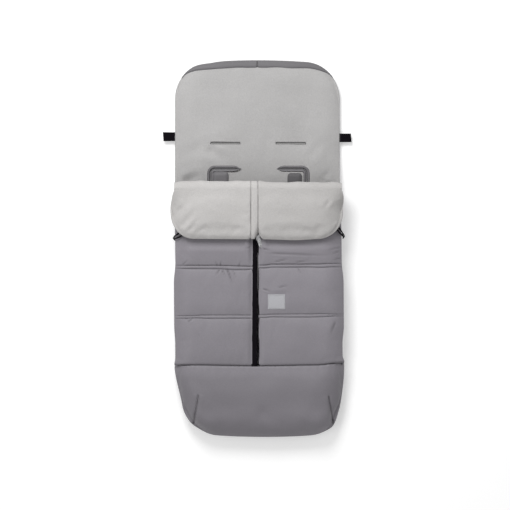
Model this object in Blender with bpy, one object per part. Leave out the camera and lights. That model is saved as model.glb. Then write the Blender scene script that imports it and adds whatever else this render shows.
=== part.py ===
"""A padded stroller footmuff, zipped shut and lying on its back.

+Y points to the head end, +X to the right half of the cover and +Z up from the surface it lies on.
The origin is the middle of its base. Lengths are in metres.
"""

import math

import bmesh
import bpy
from mathutils import Matrix, Vector

# Plan of the bag
LENGTH = 0.978
HEAD_WIDTH = 0.429
LEG_WIDTH = 0.442
FOOT_WIDTH = 0.410
HEAD_CORNER = 0.085
HEAD_CROWN = 0.012
FOOT_CORNER = 0.070
FOOT_CROWN = 0.010
FOOT_LENGTH = 0.186
FOOT_TAPER_LENGTH = 0.130
COVER_LENGTH = 0.4565
NECK_BELOW_FOLD = 0.048
NECK_LENGTH = 0.070

# Fabrics
SHELL = 0.0012
LINING = 0.0025
GAP = 0.0003

# Heights of the back panel
BACK_HEIGHT = 0.026
BACK_EDGE_DEPTH = 0.050
LEG_RIM_LOW = 0.022
LEG_RIM_THICKNESS = 0.010
HEAD_RIM_LOW = 0.008
HEAD_RIM_THICKNESS = 0.009
RIM_FALL_BELOW_FOLD = 0.015
RIM_FALL_LENGTH = 0.120

# Cover and foot panel
CAVITY_HEIGHT = 0.034
SEAM_THICKNESS = 0.013
QUILT_PUFF = 0.009
FOOT_PUFF = 0.007
FOOT_PUFF_LENGTH = 0.090
QUILT_ROW = 0.127
STITCH_SPACING = 0.008
TOP_ROW_RISE = 0.078
COVER_EDGE_DEPTH = 0.050
COVER_RIM_THICKNESS = 0.0077
FOOT_EDGE_DEPTH = 0.055
FOOT_RIM_THICKNESS = 0.010
FLAP_AXIS_ABOVE_SEAM = 0.001

# Collar
COLLAR_DEPTH = 0.1315
COLLAR_OVERHANG = 0.0025
COLLAR_FOLD_OVERHANG = -0.001
COLLAR_NARROWING = 0.050
COLLAR_CORNER = 0.055
COLLAR_CROWN = 0.002
COLLAR_THICKNESS = 0.0205
COLLAR_EDGE_THICKNESS = 0.007
COLLAR_EDGE_DEPTH = 0.035
COLLAR_LIFT = 0.0005
COLLAR_DROOP = 0.014
COLLAR_DROOP_WIDTH = 0.0535
COLLAR_FLAT_AT_FOLD = 0.060
COLLAR_FOLD_END_THICKNESS = 0.015
COLLAR_ROLL = 0.021
NOTCH_HALF_WIDTH = 0.009
NOTCH_HEIGHT = 0.016
GUARD_WIDTH = 0.0175
GUARD_THICKNESS = 0.0025
GUARD_REACH = 0.030

# Zips
TAPE = 0.001
COIL_THICKNESS = 0.0024
COIL_WIDTH = 0.0026
ZIP_OPENING = 0.0016
ZIP_WIDTH = 0.018
ZIP_DIP_WIDTH = 0.022
SIDE_ZIP_HEIGHT = 0.0183
SIDE_ZIP_INSET = 0.0026
SLIDER_LENGTH = 0.015
SLIDER_WIDTH = 0.010
SLIDER_PLATE = 0.0016
SLIDER_POST = 0.001
SLIDER_POST_LENGTH = 0.005
SLIDER_ABOVE_COLLAR_END = 0.006
SIDE_SLIDER_ABOVE_COLLAR_END = 0.001
BRIDGE_WALL = 0.0014
CENTRE_EYE = 0.004
CENTRE_BRIDGE_WIDTH = 0.0022
SIDE_BRIDGE_LENGTH = 0.004
PULL_LENGTH = 0.0275
PULL_HEAD_WIDTH = 0.0084
PULL_WIDTH = 0.0105
PULL_THICKNESS = 0.0016
PULL_BAR = 0.002
PULL_WINDOW_WIDTH = 0.0056
PULL_HOLE_RADIUS = 0.0016
PULL_TURN = math.radians(20)
LOOP_CORD = 0.0026
LOOP_WIDTH = 0.0114
LOOP_REACH = 0.018

# Slots through the back panel
SLIT_LENGTH = 0.078
SLIT_OPENING = 0.005
SLIT_BINDING = 0.002
SLIT_CENTRE_X = 0.085
SLIT_BELOW_HEAD = 0.2175
SLOT_OPENING = 0.005
SLOT_BINDING = 0.0055
SLOT_BELOW_HEAD = 0.282
SLOT_INNER_X = 0.046
SLOT_OUTER_X = 0.1255
SLOT_ARM_LENGTH = 0.082
SLOT_POINT = 0.006
CROTCH_SLOT_LENGTH = 0.100
CROTCH_SLOT_ABOVE_FOOT = 0.430
BINDING_PROUD = 0.0008
PAD_WIDTH = 0.0375
PAD_LENGTH = 0.066
PAD_THICKNESS = 0.0045
PAD_CLEARANCE = 0.003

# Head band, rear pocket, tabs and patch
BAND_DEPTH = 0.018
BAND_END_DEPTH = 0.003
BAND_END_SHARE = 0.9
BAND_FABRIC = 0.0012
BAND_WALL = 0.0015
POCKET_DEPTH = 0.174
POCKET_SPACE = 0.008
POCKET_RAMP = 0.032
POCKET_FABRIC = 0.0012
ELASTIC_WIDTH = 0.009
ELASTIC_THICKNESS = 0.0018
ELASTIC_LENGTH = 0.320
TAB_BELOW_HEAD = 0.201
TAB_WIDTH = 0.0225
TAB_REACH = 0.0295
TAB_PLY = 0.001
TAB_SLIT = 0.0004
PATCH_WIDTH = 0.0445
PATCH_LENGTH = 0.0385
PATCH_X = 0.048
PATCH_ABOVE_FOOT_SEAM = 0.164
PATCH_THICKNESS = 0.001

# Places worked out from the sizes above
HEAD_END = LENGTH / 2
FOOT_END = -LENGTH / 2
FOOT_SEAM_Y = FOOT_END + FOOT_LENGTH
FOLD_Y = FOOT_SEAM_Y + COVER_LENGTH
NECK_Y = FOLD_Y - NECK_BELOW_FOLD
RIM_FALL_Y = FOLD_Y - RIM_FALL_BELOW_FOLD
COLLAR_END_Y = FOLD_Y - COLLAR_DEPTH
POCKET_MOUTH_Y = HEAD_END - POCKET_DEPTH
POCKET_RAMP_Y = POCKET_MOUTH_Y - POCKET_RAMP
COLLAR_WIDTH = LEG_WIDTH + 2 * COLLAR_OVERHANG
COLLAR_FOLD_WIDTH = LEG_WIDTH + 2 * COLLAR_FOLD_OVERHANG
SLIT_Y = HEAD_END - SLIT_BELOW_HEAD
SLOT_Y = HEAD_END - SLOT_BELOW_HEAD
SLIDER_Y = COLLAR_END_Y + SLIDER_ABOVE_COLLAR_END
SIDE_SLIDER_Y = COLLAR_END_Y + SIDE_SLIDER_ABOVE_COLLAR_END
COVER_UNDER = BACK_HEIGHT + CAVITY_HEIGHT
SEAM_LEVEL = COVER_UNDER + SEAM_THICKNESS
CROWN_LEVEL = SEAM_LEVEL + QUILT_PUFF
LEG_RIM_HIGH = LEG_RIM_LOW + LEG_RIM_THICKNESS
COVER_RIM_LOW = LEG_RIM_HIGH + SIDE_ZIP_HEIGHT
SIDE_ZIP_Z = (LEG_RIM_HIGH + COVER_RIM_LOW) / 2
COLLAR_UNDER = CROWN_LEVEL + COLLAR_LIFT
FOLD_AXIS_Z = CROWN_LEVEL + COLLAR_LIFT / 2
FLAP_AXIS_Z = SEAM_LEVEL + FLAP_AXIS_ABOVE_SEAM
ZIP_HALF = ZIP_WIDTH / 2
COIL_INNER = ZIP_OPENING / 2
COIL_OUTER = COIL_INNER + COIL_WIDTH
ZIP_Z = SEAM_LEVEL - TAPE / 2
SIDE_ZIP_X = LEG_WIDTH / 2 - SIDE_ZIP_INSET
SIDES = {"left": -1, "right": 1}
COLUMNS = 10
EDGE_POWER = 2.5


def clamp(value):
    return min(1.0, max(0.0, value))


def smooth(share):
    share = clamp(share)
    return share * share * (3 - 2 * share)


def mix(first, second, share):
    return first + (second - first) * share


def steps(first, last, count):
    """count + 1 evenly spaced values from first to last."""
    return [mix(first, last, k / count) for k in range(count + 1)]


# Outline


def half_width(y):
    to_head = smooth((y - NECK_Y) / NECK_LENGTH)
    to_foot = smooth((FOOT_SEAM_Y - y) / FOOT_TAPER_LENGTH)
    return (LEG_WIDTH + (HEAD_WIDTH - LEG_WIDTH) * to_head + (FOOT_WIDTH - LEG_WIDTH) * to_foot) / 2


def end_drop(x, half, corner, crown):
    """How far a rounded end has fallen back from its middle at x."""
    turn = clamp((abs(x) - (half - corner)) / corner)
    return crown * (x / half) ** 2 + corner * (1 - math.sqrt(1 - turn * turn))


def head_edge(across):
    return HEAD_END - end_drop(across * HEAD_WIDTH / 2, HEAD_WIDTH / 2, HEAD_CORNER, HEAD_CROWN)


def foot_edge(across):
    return FOOT_END + end_drop(across * FOOT_WIDTH / 2, FOOT_WIDTH / 2, FOOT_CORNER, FOOT_CROWN)


def edge(x, y, depth):
    """0 where the panel is level, rising to 1 at the outline, over the given depth."""
    across = clamp(abs(x) / half_width(y))
    near = (half_width(y) - abs(x), head_edge(across) - y, y - foot_edge(across))
    total = sum(clamp(1 - distance / depth) ** EDGE_POWER for distance in near)
    return clamp(total ** (1 / EDGE_POWER))


# Heights


def rim_fall(y):
    return smooth((y - RIM_FALL_Y) / RIM_FALL_LENGTH)


def back_under(x, y):
    """The outer face that the bag lies on, curling up to its rim."""
    rim = mix(LEG_RIM_LOW, HEAD_RIM_LOW, rim_fall(y))
    return rim * edge(x, y, BACK_EDGE_DEPTH) ** 2.2


def back_over(x, y):
    rim = mix(LEG_RIM_HIGH, HEAD_RIM_LOW + HEAD_RIM_THICKNESS, rim_fall(y))
    return mix(BACK_HEIGHT, rim, edge(x, y, BACK_EDGE_DEPTH) ** 2)


def shell_under(x, y):
    """The back shell's outer face, lifted over the rear pocket."""
    room = POCKET_SPACE * (1 - edge(x, y, BACK_EDGE_DEPTH) ** 1.5)
    lift = (POCKET_FABRIC + GAP + room) * smooth((y - POCKET_RAMP_Y) / POCKET_RAMP)
    return back_under(x, y) + lift


def quilt_seams():
    return [FOOT_SEAM_Y + QUILT_ROW, FOOT_SEAM_Y + 2 * QUILT_ROW]


def row_puff(y):
    """0 on a quilt seam and 1 on the crown of a row."""
    first, second = quilt_seams()
    half = STITCH_SPACING / 2
    for start, end in ((FOOT_SEAM_Y, first - half), (first + half, second - half)):
        if start <= y <= end:
            return math.sin(math.pi * (y - start) / (end - start))
    return math.sin(math.pi / 2 * clamp((y - second - half) / TOP_ROW_RISE))


def cover_over(x, y):
    beside_zip = smooth((abs(x) - ZIP_HALF) / ZIP_DIP_WIDTH)
    level = SEAM_LEVEL + QUILT_PUFF * row_puff(y) * beside_zip
    rim = COVER_RIM_LOW + COVER_RIM_THICKNESS
    return mix(level, rim, edge(x, y, COVER_EDGE_DEPTH) ** 2.4)


def cover_under(x, y):
    return mix(COVER_UNDER, COVER_RIM_LOW, edge(x, y, COVER_EDGE_DEPTH) ** 2)


def foot_over(x, y):
    level = SEAM_LEVEL + FOOT_PUFF * math.sin(math.pi / 2 * clamp((FOOT_SEAM_Y - y) / FOOT_PUFF_LENGTH))
    rim = LEG_RIM_HIGH + GAP + FOOT_RIM_THICKNESS
    return mix(level, rim, edge(x, y, FOOT_EDGE_DEPTH) ** 2.4)


def foot_under(x, y):
    return mix(COVER_UNDER, LEG_RIM_HIGH + GAP, edge(x, y, FOOT_EDGE_DEPTH) ** 2)


def collar_half_width(y):
    return mix(COLLAR_WIDTH, COLLAR_FOLD_WIDTH, smooth((y - FOLD_Y + COLLAR_NARROWING) / COLLAR_NARROWING)) / 2


def collar_end(x):
    """The collar's lower edge, rounded at its corner and notched at the parting."""
    notch = NOTCH_HEIGHT * clamp(1 - abs(x) / NOTCH_HALF_WIDTH)
    return COLLAR_END_Y + notch + end_drop(x, COLLAR_WIDTH / 2, COLLAR_CORNER, COLLAR_CROWN)


def below_fold(y):
    """0 at the fold, where the collar is stiff, rising to 1 where it is free to droop."""
    return smooth((FOLD_Y - y) / COLLAR_FLAT_AT_FOLD)


def collar_under(x, y):
    near_side = clamp(1 - (COLLAR_WIDTH / 2 - abs(x)) / COLLAR_DROOP_WIDTH)
    return COLLAR_UNDER - COLLAR_DROOP * near_side**2 * below_fold(y)


def collar_over(x, y):
    near = (collar_half_width(y) - abs(x), y - collar_end(x))
    total = sum(clamp(1 - distance / COLLAR_EDGE_DEPTH) ** EDGE_POWER for distance in near)
    edge_thickness = mix(COLLAR_FOLD_END_THICKNESS, COLLAR_EDGE_THICKNESS, below_fold(y))
    thickness = mix(COLLAR_THICKNESS, edge_thickness, clamp(total ** (1 / EDGE_POWER)) ** 2.2)
    return collar_under(x, y) + thickness


def raised(height, amount):
    """A height function moved up by an amount."""
    return lambda x, y: height(x, y) + amount


# Objects and meshes


def clear_scene():
    for thing in list(bpy.data.objects):
        bpy.data.objects.remove(thing)


def make_material(name, colour, roughness, metallic=0.0):
    paint = bpy.data.materials.new(name)
    paint.use_nodes = True
    shader = paint.node_tree.nodes["Principled BSDF"]
    shader.inputs["Base Color"].default_value = (*colour, 1.0)
    shader.inputs["Roughness"].default_value = roughness
    shader.inputs["Metallic"].default_value = metallic
    paint.diffuse_color = (*colour, 1.0)
    return paint


def add_object(name, vertices, faces, paint, parent=None, rounded=True):
    mesh = bpy.data.meshes.new(name)
    mesh.from_pydata(vertices, [], faces)
    shape = bmesh.new()
    shape.from_mesh(mesh)
    bmesh.ops.recalc_face_normals(shape, faces=shape.faces)
    shape.to_mesh(mesh)
    shape.free()
    mesh.materials.append(paint)
    if rounded:
        mesh.shade_smooth()
        mesh.set_sharp_from_angle(angle=math.radians(40))
    thing = bpy.data.objects.new(name, mesh)
    bpy.context.scene.collection.objects.link(thing)
    if parent:
        thing.parent = parent
        thing.matrix_parent_inverse = Matrix.Translation(-parent.location)
    return thing


def add_axis(name, place, parent=None):
    """An empty on a joint's axis, for the pieces that move about it."""
    axis = bpy.data.objects.new(name, None)
    axis.location = place
    bpy.context.scene.collection.objects.link(axis)
    if parent:
        axis.parent = parent
        axis.location = Vector(place) - Vector(parent["place"])
    axis["place"] = Vector(place)
    return axis


def attach(thing, axis):
    thing.parent = axis
    thing.matrix_parent_inverse = Matrix.Translation(-Vector(axis["place"]))


def sheet(name, plan, under, over, paint):
    """A closed solid between two height functions over rows of plan points."""
    rows, columns = len(plan), len(plan[0])
    count = rows * columns
    vertices = [(x, y, under(x, y)) for row in plan for x, y in row]
    vertices += [(x, y, over(x, y)) for row in plan for x, y in row]
    faces = []
    for r in range(rows - 1):
        for c in range(columns - 1):
            a = r * columns + c
            b = a + columns
            faces.append((a, b, b + 1, a + 1))
            faces.append((count + a, count + a + 1, count + b + 1, count + b))
    rim = [c for c in range(columns)]
    rim += [r * columns + columns - 1 for r in range(1, rows)]
    rim += [(rows - 1) * columns + c for c in range(columns - 2, -1, -1)]
    rim += [r * columns for r in range(rows - 2, 0, -1)]
    for first, second in zip(rim, rim[1:] + rim[:1]):
        faces.append((first, second, count + second, count + first))
    return add_object(name, vertices, faces, paint)


def swept(name, sections, paint):
    """A closed solid through a row of matching closed sections."""
    size = len(sections[0])
    vertices = [point for section in sections for point in section]
    faces = [tuple(range(size)), tuple(range(len(vertices) - size, len(vertices)))]
    for s in range(len(sections) - 1):
        for k in range(size):
            a, b = s * size + k, s * size + (k + 1) % size
            faces.append((a, b, b + size, a + size))
    return add_object(name, vertices, faces, paint)


def box_section(y, x0, x1, z0, z1):
    return [(x0, y, z0), (x1, y, z0), (x1, y, z1), (x0, y, z1)]


def ring(name, outer, inner, low, high, paint):
    """A wall of even height between two matching outlines."""
    size = len(outer)
    loops = [(outer, low), (outer, high), (inner, high), (inner, low)]
    vertices = [(x, y, z) for outline, z in loops for x, y in outline]
    faces = []
    for loop in range(4):
        for k in range(size):
            a, b = loop * size + k, loop * size + (k + 1) % size
            above = ((loop + 1) % 4 - loop) * size
            faces.append((a, b, b + above, a + above))
    return add_object(name, vertices, faces, paint)


def prism_mesh(outlines, low, high):
    """Vertices and faces of straight prisms, one on each outline."""
    vertices, faces = [], []
    for outline in outlines:
        start, size = len(vertices), len(outline)
        vertices += [(x, y, low) for x, y in outline] + [(x, y, high) for x, y in outline]
        faces.append(tuple(range(start, start + size)))
        faces.append(tuple(range(start + size, start + 2 * size)))
        for k in range(size):
            a, b = start + k, start + (k + 1) % size
            faces.append((a, b, b + size, a + size))
    return vertices, faces


def blocks(name, boxes, paint):
    """One closed solid that fills every box, with its faces on the boxes' own planes."""
    cuts = [sorted({round(box[end][axis], 7) for box in boxes for end in (0, 1)}) for axis in range(3)]
    cells = set()
    for i in range(len(cuts[0]) - 1):
        for j in range(len(cuts[1]) - 1):
            for k in range(len(cuts[2]) - 1):
                middle = [(cuts[a][n] + cuts[a][n + 1]) / 2 for a, n in enumerate((i, j, k))]
                if any(all(low[a] < middle[a] < high[a] for a in range(3)) for low, high in boxes):
                    cells.add((i, j, k))
    corners, faces = {}, []
    for cell in cells:
        for axis in range(3):
            for side in (0, 1):
                beyond = list(cell)
                beyond[axis] += 2 * side - 1
                if tuple(beyond) in cells:
                    continue
                u, v = [a for a in range(3) if a != axis]
                face = []
                for du, dv in ((0, 0), (1, 0), (1, 1), (0, 1)):
                    corner = list(cell)
                    corner[axis] += side
                    corner[u] += du
                    corner[v] += dv
                    face.append(corners.setdefault(tuple(corner), len(corners)))
                faces.append(tuple(face))
    vertices = [tuple(cuts[a][corner[a]] for a in range(3)) for corner in corners]
    return add_object(name, vertices, faces, paint, rounded=False)


def cut(thing, cutter):
    modifier = thing.modifiers.new("cut", "BOOLEAN")
    modifier.operation = "DIFFERENCE"
    modifier.solver = "EXACT"
    modifier.object = cutter


def make_cutter(name, vertices, faces, paint):
    cutter = add_object(name, vertices, faces, paint, rounded=False)
    cutter.hide_render = True
    cutter.display_type = "WIRE"
    return cutter


# Plans


def full_columns():
    return [math.sin(math.pi / 2 * k / COLUMNS) for k in range(-COLUMNS, COLUMNS + 1)]


def foot_row():
    """The last row across the foot that runs straight from side to side."""
    return FOOT_END + 1.35 * (FOOT_CORNER + FOOT_CROWN)


def head_row():
    return HEAD_END - 1.08 * (HEAD_CORNER + HEAD_CROWN)


def band_columns():
    return [u for u in full_columns() if 0 < u < BAND_END_SHARE]


def band_reach(u):
    """How far in from the head's outline the band comes, narrowing to its ends."""
    return mix(BAND_DEPTH, BAND_END_DEPTH, clamp(abs(u) / band_columns()[-1]) ** 5)


def straight_rows():
    """Rows across the back, at each place where its edge starts or stops changing."""
    rows = steps(foot_row(), FOOT_SEAM_Y, 3) + steps(FOOT_SEAM_Y, NECK_Y, 3)[1:]
    rows += steps(NECK_Y, RIM_FALL_Y + RIM_FALL_LENGTH, 6)[1:]
    rows += [POCKET_RAMP_Y, POCKET_MOUTH_Y, head_row()]
    return sorted(rows)


def full_plan(first, last, foot=False, head=False):
    """Rows of points from side to side between two heights of the bag, out to its rounded ends."""
    inner = [y for y in straight_rows() if first < y < last]
    plan = []
    if foot:
        last_row = foot_row()
        plan += [[foot_edge(u) for u in full_columns()]]
        plan += [[mix(foot_edge(u), last_row, share) for u in full_columns()] for share in (0.2, 0.5)]
    else:
        plan += [[first for _ in full_columns()]]
    plan += [[y for _ in full_columns()] for y in inner]
    if head:
        plan += [[mix(head_row(), head_edge(u) - band_reach(u), 0.5) for u in full_columns()]]
        plan += [[head_edge(u) - band_reach(u) * share for u in full_columns()] for share in (1.0, 0.5, 0.0)]
    else:
        plan += [[last for _ in full_columns()]]
    return [[(u * half_width(y), y) for u, y in zip(full_columns(), row)] for row in plan]


def cover_columns(y, fine):
    """Distances from the centre line across one half of the cover."""
    dip = ZIP_HALF + ZIP_DIP_WIDTH
    level = half_width(y) - COVER_EDGE_DEPTH
    beside_zip = steps(ZIP_HALF, dip, 4 if fine else 1)
    middle = steps(dip, level, 3 if fine else 1)[1:]
    edge_part = [half_width(y) - COVER_EDGE_DEPTH * share for share in (0.72, 0.46, 0.24, 0.1, 0.0)]
    return beside_zip + middle + edge_part


def neck_rows():
    return [y for y in straight_rows() if NECK_Y - GAP < y < FOLD_Y - GAP]


def cover_rows(fine):
    first, second = quilt_seams()
    half = STITCH_SPACING / 2
    low, high = FOOT_SEAM_Y + GAP, FOLD_Y - GAP
    rows = []
    if fine:
        rows += steps(FOOT_SEAM_Y, first - half, 6)[1:]
        rows += steps(first + half, second - half, 6)
        rows += steps(second + half, second + half + TOP_ROW_RISE, 4)
    return sorted([low] + rows + neck_rows() + [high])


def cover_plan(side, fine):
    return [[(side * x, y) for x in cover_columns(y, fine)] for y in cover_rows(fine)]


def collar_plan(side, inner):
    """Rows across one half of the collar, from its rounded lower edge to the fold."""
    bend, lowest = COLLAR_WIDTH / 2 - COLLAR_CORNER, max(inner, NOTCH_HALF_WIDTH)
    columns = sorted({inner, *steps(lowest, bend, 3)})
    columns += [mix(bend, COLLAR_WIDTH / 2, math.sin(math.pi / 2 * k / 6)) for k in range(1, 7)]
    plan = []
    for share in (0.0, 0.08, 0.2, 0.4, 0.65, 1.0):
        row = []
        for x in columns:
            y = mix(collar_end(x), FOLD_Y - GAP, share)
            narrowing = 2 * collar_half_width(y) / COLLAR_WIDTH
            row.append((side * x * mix(1.0, narrowing, clamp(x / bend)), y))
        plan.append(row)
    return plan


# Padded panels


def layered(prefix, suffix, plans, under, over, paints):
    """Shell, wadding and lining of a padded panel whose shell is on top, or beneath if over holds the lining."""
    made = {}
    shell_on_top = paints["shell_on_top"]
    low_skin, high_skin = (LINING, SHELL) if shell_on_top else (SHELL, LINING)
    low_name, high_name = ("lining", "shell") if shell_on_top else ("shell", "lining")
    low = sheet(f"{prefix}_{low_name}{suffix}", plans[low_name], under, raised(under, low_skin), paints[low_name])
    core = sheet(
        f"{prefix}_wadding{suffix}",
        plans["wadding"],
        raised(under, low_skin + GAP),
        raised(over, -high_skin - GAP),
        paints["wadding"],
    )
    high = sheet(f"{prefix}_{high_name}{suffix}", plans[high_name], raised(over, -high_skin), over, paints[high_name])
    made[low_name], made["wadding"], made[high_name] = low, core, high
    return made


def make_back(paints, slot_cutter):
    plan = full_plan(FOOT_END, HEAD_END, foot=True, head=True)
    plans = {"shell": plan, "wadding": plan, "lining": plan}
    layers = layered("back", "", plans, shell_under, back_over, {**paints, "shell_on_top": False})
    for layer in layers.values():
        cut(layer, slot_cutter)


def make_foot(paints):
    plan = full_plan(FOOT_END, FOOT_SEAM_Y - GAP, foot=True)
    plans = {"shell": plan, "wadding": plan, "lining": plan}
    layered("foot", "", plans, foot_under, foot_over, {**paints, "shell_on_top": True})


def make_cover(name, side, paints, axis):
    fine, plain = cover_plan(side, True), cover_plan(side, False)
    plans = {"shell": fine, "wadding": fine, "lining": plain}
    layers = layered("cover", f"_{name}", plans, cover_under, cover_over, {**paints, "shell_on_top": True})
    for layer in layers.values():
        attach(layer, axis)


def make_collar(name, side, paints, axis):
    inner = COIL_INNER if side > 0 else COIL_INNER + GUARD_WIDTH + GAP
    plan = collar_plan(side, inner)
    plans = {"shell": plan, "wadding": plan, "lining": plan}
    layers = layered("collar", f"_{name}", plans, collar_under, collar_over, {**paints, "shell_on_top": False})
    for layer in layers.values():
        attach(layer, axis)


def make_collar_guard(paints, axis):
    """The lining strip that backs the zip on the unfolded collar."""
    columns = [COIL_INNER, NOTCH_HALF_WIDTH, COIL_INNER + GUARD_WIDTH]
    plan = [[(-x, mix(collar_end(x), FOLD_Y - GAP, share)) for x in columns] for share in (0.0, 0.2, 0.4, 1.0)]
    attach(sheet("collar_guard", plan, collar_under, collar_over, paints["lining"]), axis)


def make_collar_zip(name, side, paints, axis):
    """The zip half on the collar's outer fabric, which faces down while the collar is folded."""
    top = COLLAR_UNDER - GAP
    start = COLLAR_END_Y + NOTCH_HEIGHT
    inner, outer = side * COIL_INNER, side * (COIL_OUTER + ZIP_HALF - COIL_INNER)
    sections = [box_section(y, inner, outer, top - TAPE, top) for y in (start, FOLD_Y - GAP)]
    attach(swept(f"collar_zip_{name}", sections, paints["zip"]), axis)


def make_collar_fold(name, side, paints, axis):
    """The half-round roll of wadding and lining that joins cover and collar at the fold."""
    y = FOLD_Y + GAP
    outer = COLLAR_FOLD_WIDTH / 2
    sections = []
    for share in (0.0, 0.3, 0.6, 0.8, 0.9, 0.96, 1.0):
        x = mix(COIL_INNER, outer - GAP, share)
        high = collar_over(x, FOLD_Y)
        end = smooth((x - 0.9 * outer) / (0.1 * outer))
        low = cover_under(min(x, half_width(FOLD_Y)), FOLD_Y)
        middle, half = (low + high) / 2, (high - low) / 2
        bulge = COLLAR_ROLL * mix(1.0, 0.80, end)
        section = []
        for k in range(9):
            turn = math.pi * k / 8
            section.append((side * x, y + bulge * math.sin(turn), middle - half * math.cos(turn)))
        sections.append(section)
    attach(swept(f"collar_fold_{name}", sections, paints["lining"]), axis)


# Head band and rear pocket


def make_head_band(name, side, paints):
    """Half of the crescent that wraps the head end, on the same columns as the back."""
    stations = [GAP / (HEAD_WIDTH / 2)] + band_columns()
    sections = []
    for u in stations:
        x = u * HEAD_WIDTH / 2
        top = head_edge(u)
        reach = band_reach(u)
        rim_top = back_over(x, top)
        outer = [(-BAND_WALL, HEAD_RIM_LOW), (-BAND_WALL, rim_top), (-GAP, rim_top + GAP + BAND_FABRIC)]
        inner = [(-GAP, rim_top + GAP), (-GAP, HEAD_RIM_LOW)]
        along = [0.5 * reach, reach]
        outer += [(t, back_over(x, top - t) + GAP + BAND_FABRIC) for t in along]
        inner = [(t, back_over(x, top - t) + GAP) for t in reversed(along)] + inner
        sections.append([(side * x, top - t, z) for t, z in outer + inner])
    swept(f"head_band_{name}", sections, paints["nylon"])


def make_rear_pocket(paints):
    """The pocket that slips over the top of the seat's back."""
    plan = full_plan(POCKET_MOUTH_Y, HEAD_END, head=True)
    sheet("seat_pocket", plan, back_under, raised(back_under, POCKET_FABRIC), paints["nylon"])
    y1 = POCKET_MOUTH_Y - GAP
    half = ELASTIC_LENGTH / 2
    sections = [box_section(y, -half, half, 0.0, ELASTIC_THICKNESS) for y in (y1 - ELASTIC_WIDTH, y1)]
    swept("seat_pocket_elastic", sections, paints["zip"])


def make_side_tab(name, side, paints):
    """A woven tape folded in half and caught in the side seam."""
    y = HEAD_END - TAB_BELOW_HEAD
    start = half_width(y) + GAP
    end = start + TAB_REACH
    middle = HEAD_RIM_LOW + HEAD_RIM_THICKNESS / 2
    half = TAB_PLY + TAB_SLIT / 2
    bend = end - half
    arc = [(bend + half * math.sin(math.pi * k / 4), -half * math.cos(math.pi * k / 4)) for k in range(5)]
    inside = [(start, TAB_SLIT / 2), (bend, TAB_SLIT / 2), (bend, -TAB_SLIT / 2), (start, -TAB_SLIT / 2)]
    outline = [(start, -half)] + arc + [(start, half)] + inside
    sections = []
    for at in (y - TAB_WIDTH / 2, y + TAB_WIDTH / 2):
        sections.append([(side * x, at, middle + z) for x, z in outline])
    swept(f"side_tab_{name}", sections, paints["zip"])


def make_label_patch(paints, axis):
    middle = FOOT_SEAM_Y + PATCH_ABOVE_FOOT_SEAM
    first, last = PATCH_X - PATCH_WIDTH / 2, PATCH_X + PATCH_WIDTH / 2
    xs = [first] + [x for x in cover_columns(middle, True) if first < x < last] + [last]
    ys = steps(middle - PATCH_LENGTH / 2, middle + PATCH_LENGTH / 2, 6)
    plan = [[(x, y) for x in xs] for y in ys]
    patch = sheet(
        "label_patch",
        plan,
        raised(cover_over, GAP),
        raised(cover_over, GAP + PATCH_THICKNESS),
        paints["patch"],
    )
    attach(patch, axis)


# Slots through the back


def round_slot(x, y, length, width, upright=False):
    """The outline of a slot with half-round ends."""
    radius = width / 2
    reach = length / 2 - radius
    points = []
    for k in range(10):
        turn = math.radians(45 * (k % 5) - 90 + 180 * (k // 5))
        shift = reach if k < 5 else -reach
        along, beside = shift + radius * math.cos(turn), radius * math.sin(turn)
        points.append((x - beside, y + along) if upright else (x + along, y + beside))
    return points


def slit_outline(side, grow):
    length = SLIT_LENGTH + 2 * grow
    return round_slot(side * SLIT_CENTRE_X, SLIT_Y, length, SLIT_OPENING + 2 * grow)


def crotch_outline(grow):
    y = FOOT_END + CROTCH_SLOT_ABOVE_FOOT
    return round_slot(0, y, CROTCH_SLOT_LENGTH + 2 * grow, SLIT_OPENING + 2 * grow, upright=True)


def slot_outline(side, grow):
    """The L-shaped slot: an arm across with a pointed inner end, and an arm down its outer side."""
    half = SLOT_OPENING / 2 + grow
    bevel = 0.5 * half
    foot = SLOT_Y - SLOT_ARM_LENGTH - grow
    points = [
        (SLOT_INNER_X - grow, SLOT_Y),
        (SLOT_INNER_X + SLOT_POINT, SLOT_Y - half),
        (SLOT_OUTER_X - half, SLOT_Y - half),
        (SLOT_OUTER_X - half, foot),
        (SLOT_OUTER_X + half, foot),
        (SLOT_OUTER_X + half, SLOT_Y + half - bevel),
        (SLOT_OUTER_X + half - bevel, SLOT_Y + half),
        (SLOT_INNER_X + SLOT_POINT, SLOT_Y + half),
    ]
    return [(side * x, y) for x, y in points]


def make_slot_cutter(paints):
    outlines = [crotch_outline(SLIT_BINDING + GAP)]
    for side in SIDES.values():
        outlines.append(slit_outline(side, SLIT_BINDING + GAP))
        outlines.append(slot_outline(side, SLOT_BINDING + GAP))
    vertices, faces = prism_mesh(outlines, -BACK_HEIGHT, 2 * BACK_HEIGHT)
    return make_cutter("slot_cutter", vertices, faces, paints["nylon"])


def make_bindings(paints):
    top = BACK_HEIGHT + BINDING_PROUD
    ring("crotch_slot_binding", crotch_outline(SLIT_BINDING), crotch_outline(0), 0, top, paints["nylon"])
    for name, side in SIDES.items():
        outer, inner = slit_outline(side, SLIT_BINDING), slit_outline(side, 0)
        ring(f"slit_binding_{name}", outer, inner, 0, top, paints["lining"])
        outer, inner = slot_outline(side, SLOT_BINDING), slot_outline(side, 0)
        ring(f"slot_binding_{name}", outer, inner, 0, top, paints["nylon"])


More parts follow.
